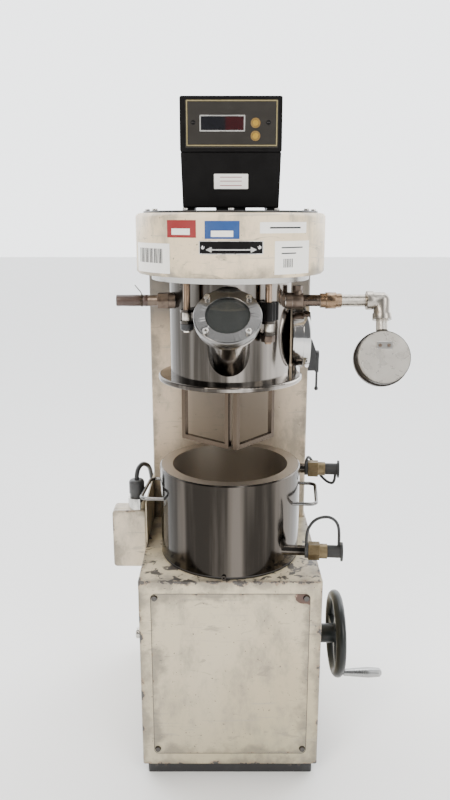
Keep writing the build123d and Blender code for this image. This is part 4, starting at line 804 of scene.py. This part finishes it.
# Straps of the dust plugs: a collar on the nozzle and a loop that bends to the plug
spin = Matrix.Rotation(math.radians(-5), 4, "Z")
standing = [
    (107, 0, 9.3), (106, 0, 20), (110, 0, 36), (120, 0, 47), (136, 0, 50), (147, 0, 42), (150, 0, 26),
    (149.6, 0, 8.8),
]
hanging = [
    (107, 0, 9.3), (108, 4, 15), (112, 15, 13), (119, 19, 0), (128, 15, -15), (140, 4, -23), (149.4, 0, -22),
    (149.6, 0, -8.8),
]
collar_profile = [(6.95, 0), (9.6, 0), (10.0, 0.6), (10.0, 4.0), (9.6, 4.6), (6.95, 4.6), (6.95, 0)]
for name, y, z, line in (("lower", -55, 323.5, standing), ("upper", 64, 398, hanging)):
    points = [spin @ Vector((x, y + b, z + h)) for x, b, h in line]
    strap = meshed(tube(f"{name}_strap", points, STRAP_ROD, rubber))
    for polygon in strap.data.polygons:
        polygon.use_smooth = True
    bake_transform(strap)
    collar = basis(spin @ Vector((104.7, y, z)), spin @ Vector((0, 1, 0)), spin @ Vector((1, 0, 0)))
    ring = lathe(f"{name}_collar", collar_profile, collar, rubber, "can", 48)
    if name == "lower":
        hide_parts("plug_straps")

# Dark sleeves where the hood's side bosses leave the wall
for side in (-1, 1):
    sleeve = basis((0, PORT_Y, PORT_Z), (0, 1, 0), (side, 0, 0))
    profile = [(9.9, 70), (10.4, 70), (10.4, 78.3), (9.9, 78.3), (9.9, 70)]
    lathe(f"boss_sleeve_{'lr'[side > 0]}", profile, sleeve, dark_fitting, "head", 48)

# Dark band at the foot of the can: its weld seam, and painted shadow where the can stands on the base
seam = basis((0, 0, 0), (1, 0, 0), (0, 0, 1))
seam_and_shadow_profile = [
    (95.0, 297.2), (95.7, 297.2), (96.6, 299.0), (96.65, 300.6), (96.4, 301.0), (95.0, 301.0), (95.0, 297.2),
]
lathe("can_seam_and_shadow", seam_and_shadow_profile, seam, dark_seam, "can", 120)

# Floor, light and camera
bm = bmesh.new()
bmesh.ops.create_grid(bm, x_segments=1, y_segments=1, size=14.0)
floor_paint = plain("floor_paint", (0.93, 0.925, 0.915), 0.7, 300.0, 0.00002, 0.0)
floor = finish_mesh("floor", bm, floor_paint, None)

world = bpy.data.worlds.new("studio")
world.use_nodes = True
bpy.context.scene.world = world
tree = world.node_tree
background = tree.nodes["Background"]
direction = tree.nodes.new("ShaderNodeTexCoord").outputs["Generated"]
split = tree.nodes.new("ShaderNodeSeparateXYZ")
tree.links.new(direction, split.inputs[0])

# The room round the machine: pale behind it, dark in front with two tall bright panels
angle = math_node(tree, "ARCTAN2", split.outputs["X"], split.outputs["Y"])
share = math_node(tree, "DIVIDE", angle, 2 * math.pi)
bands = tree.nodes.new("ShaderNodeValToRGB")
tree.links.new(math_node(tree, "ADD", share, 0.5), bands.inputs["Fac"])
stops = [
    (0.0, 0.04), (0.075, 0.04), (0.10, 0.5), (0.125, 0.05), (0.20, 0.08), (0.29, 0.20), (0.36, 1.0), (0.43, 0.53),
    (0.57, 0.53), (0.64, 1.0), (0.71, 0.30), (0.80, 0.10), (0.86, 0.05), (0.885, 0.6), (0.915, 0.6), (0.94, 0.04),
    (1.0, 0.04),
]
elements = bands.color_ramp.elements
while len(elements) < len(stops):
    elements.new(0.5)
for element, (place, level) in zip(elements, stops):
    element.position = place
    element.color = (level * 0.96, level * 0.98, level, 1.0)
tree.links.new(bands.outputs["Color"], background.inputs["Color"])
background.inputs["Strength"].default_value = 6.2


def lamp(name, place, target, size, power, color=(1, 1, 1)):
    data = bpy.data.lights.new(name, "AREA")
    data.energy = power
    data.shape = "RECTANGLE"
    data.size, data.size_y = size
    data.color = color
    obj = bpy.data.objects.new(name, data)
    bpy.context.collection.objects.link(obj)
    obj.location = place
    obj.rotation_euler = (Vector(target) - Vector(place)).to_track_quat("-Z", "Y").to_euler()


lamp("key", (-1.1, -1.7, 1.9), (0, 0, 0.55), (0.8, 1.2), 32, (1.0, 0.92, 0.82))
lamp("fill", (1.6, -1.2, 1.2), (0, 0, 0.5), (0.5, 1.2), 14, (1.0, 0.96, 0.9))
lamp("top", (0.1, 0.3, 2.3), (0, 0, 0.6), (1.2, 1.2), 16)

camera_data = bpy.data.cameras.new("camera")
camera_data.lens = 32.78
camera_data.sensor_width = 36
camera_data.sensor_fit = "AUTO"
camera_data.clip_start = 0.01
camera = bpy.data.objects.new("camera", camera_data)
bpy.context.collection.objects.link(camera)
camera.location = (-0.00698, -0.96109, 0.75427)
camera.rotation_euler = (math.radians(76.013), 0, 0)
bpy.context.scene.camera = camera
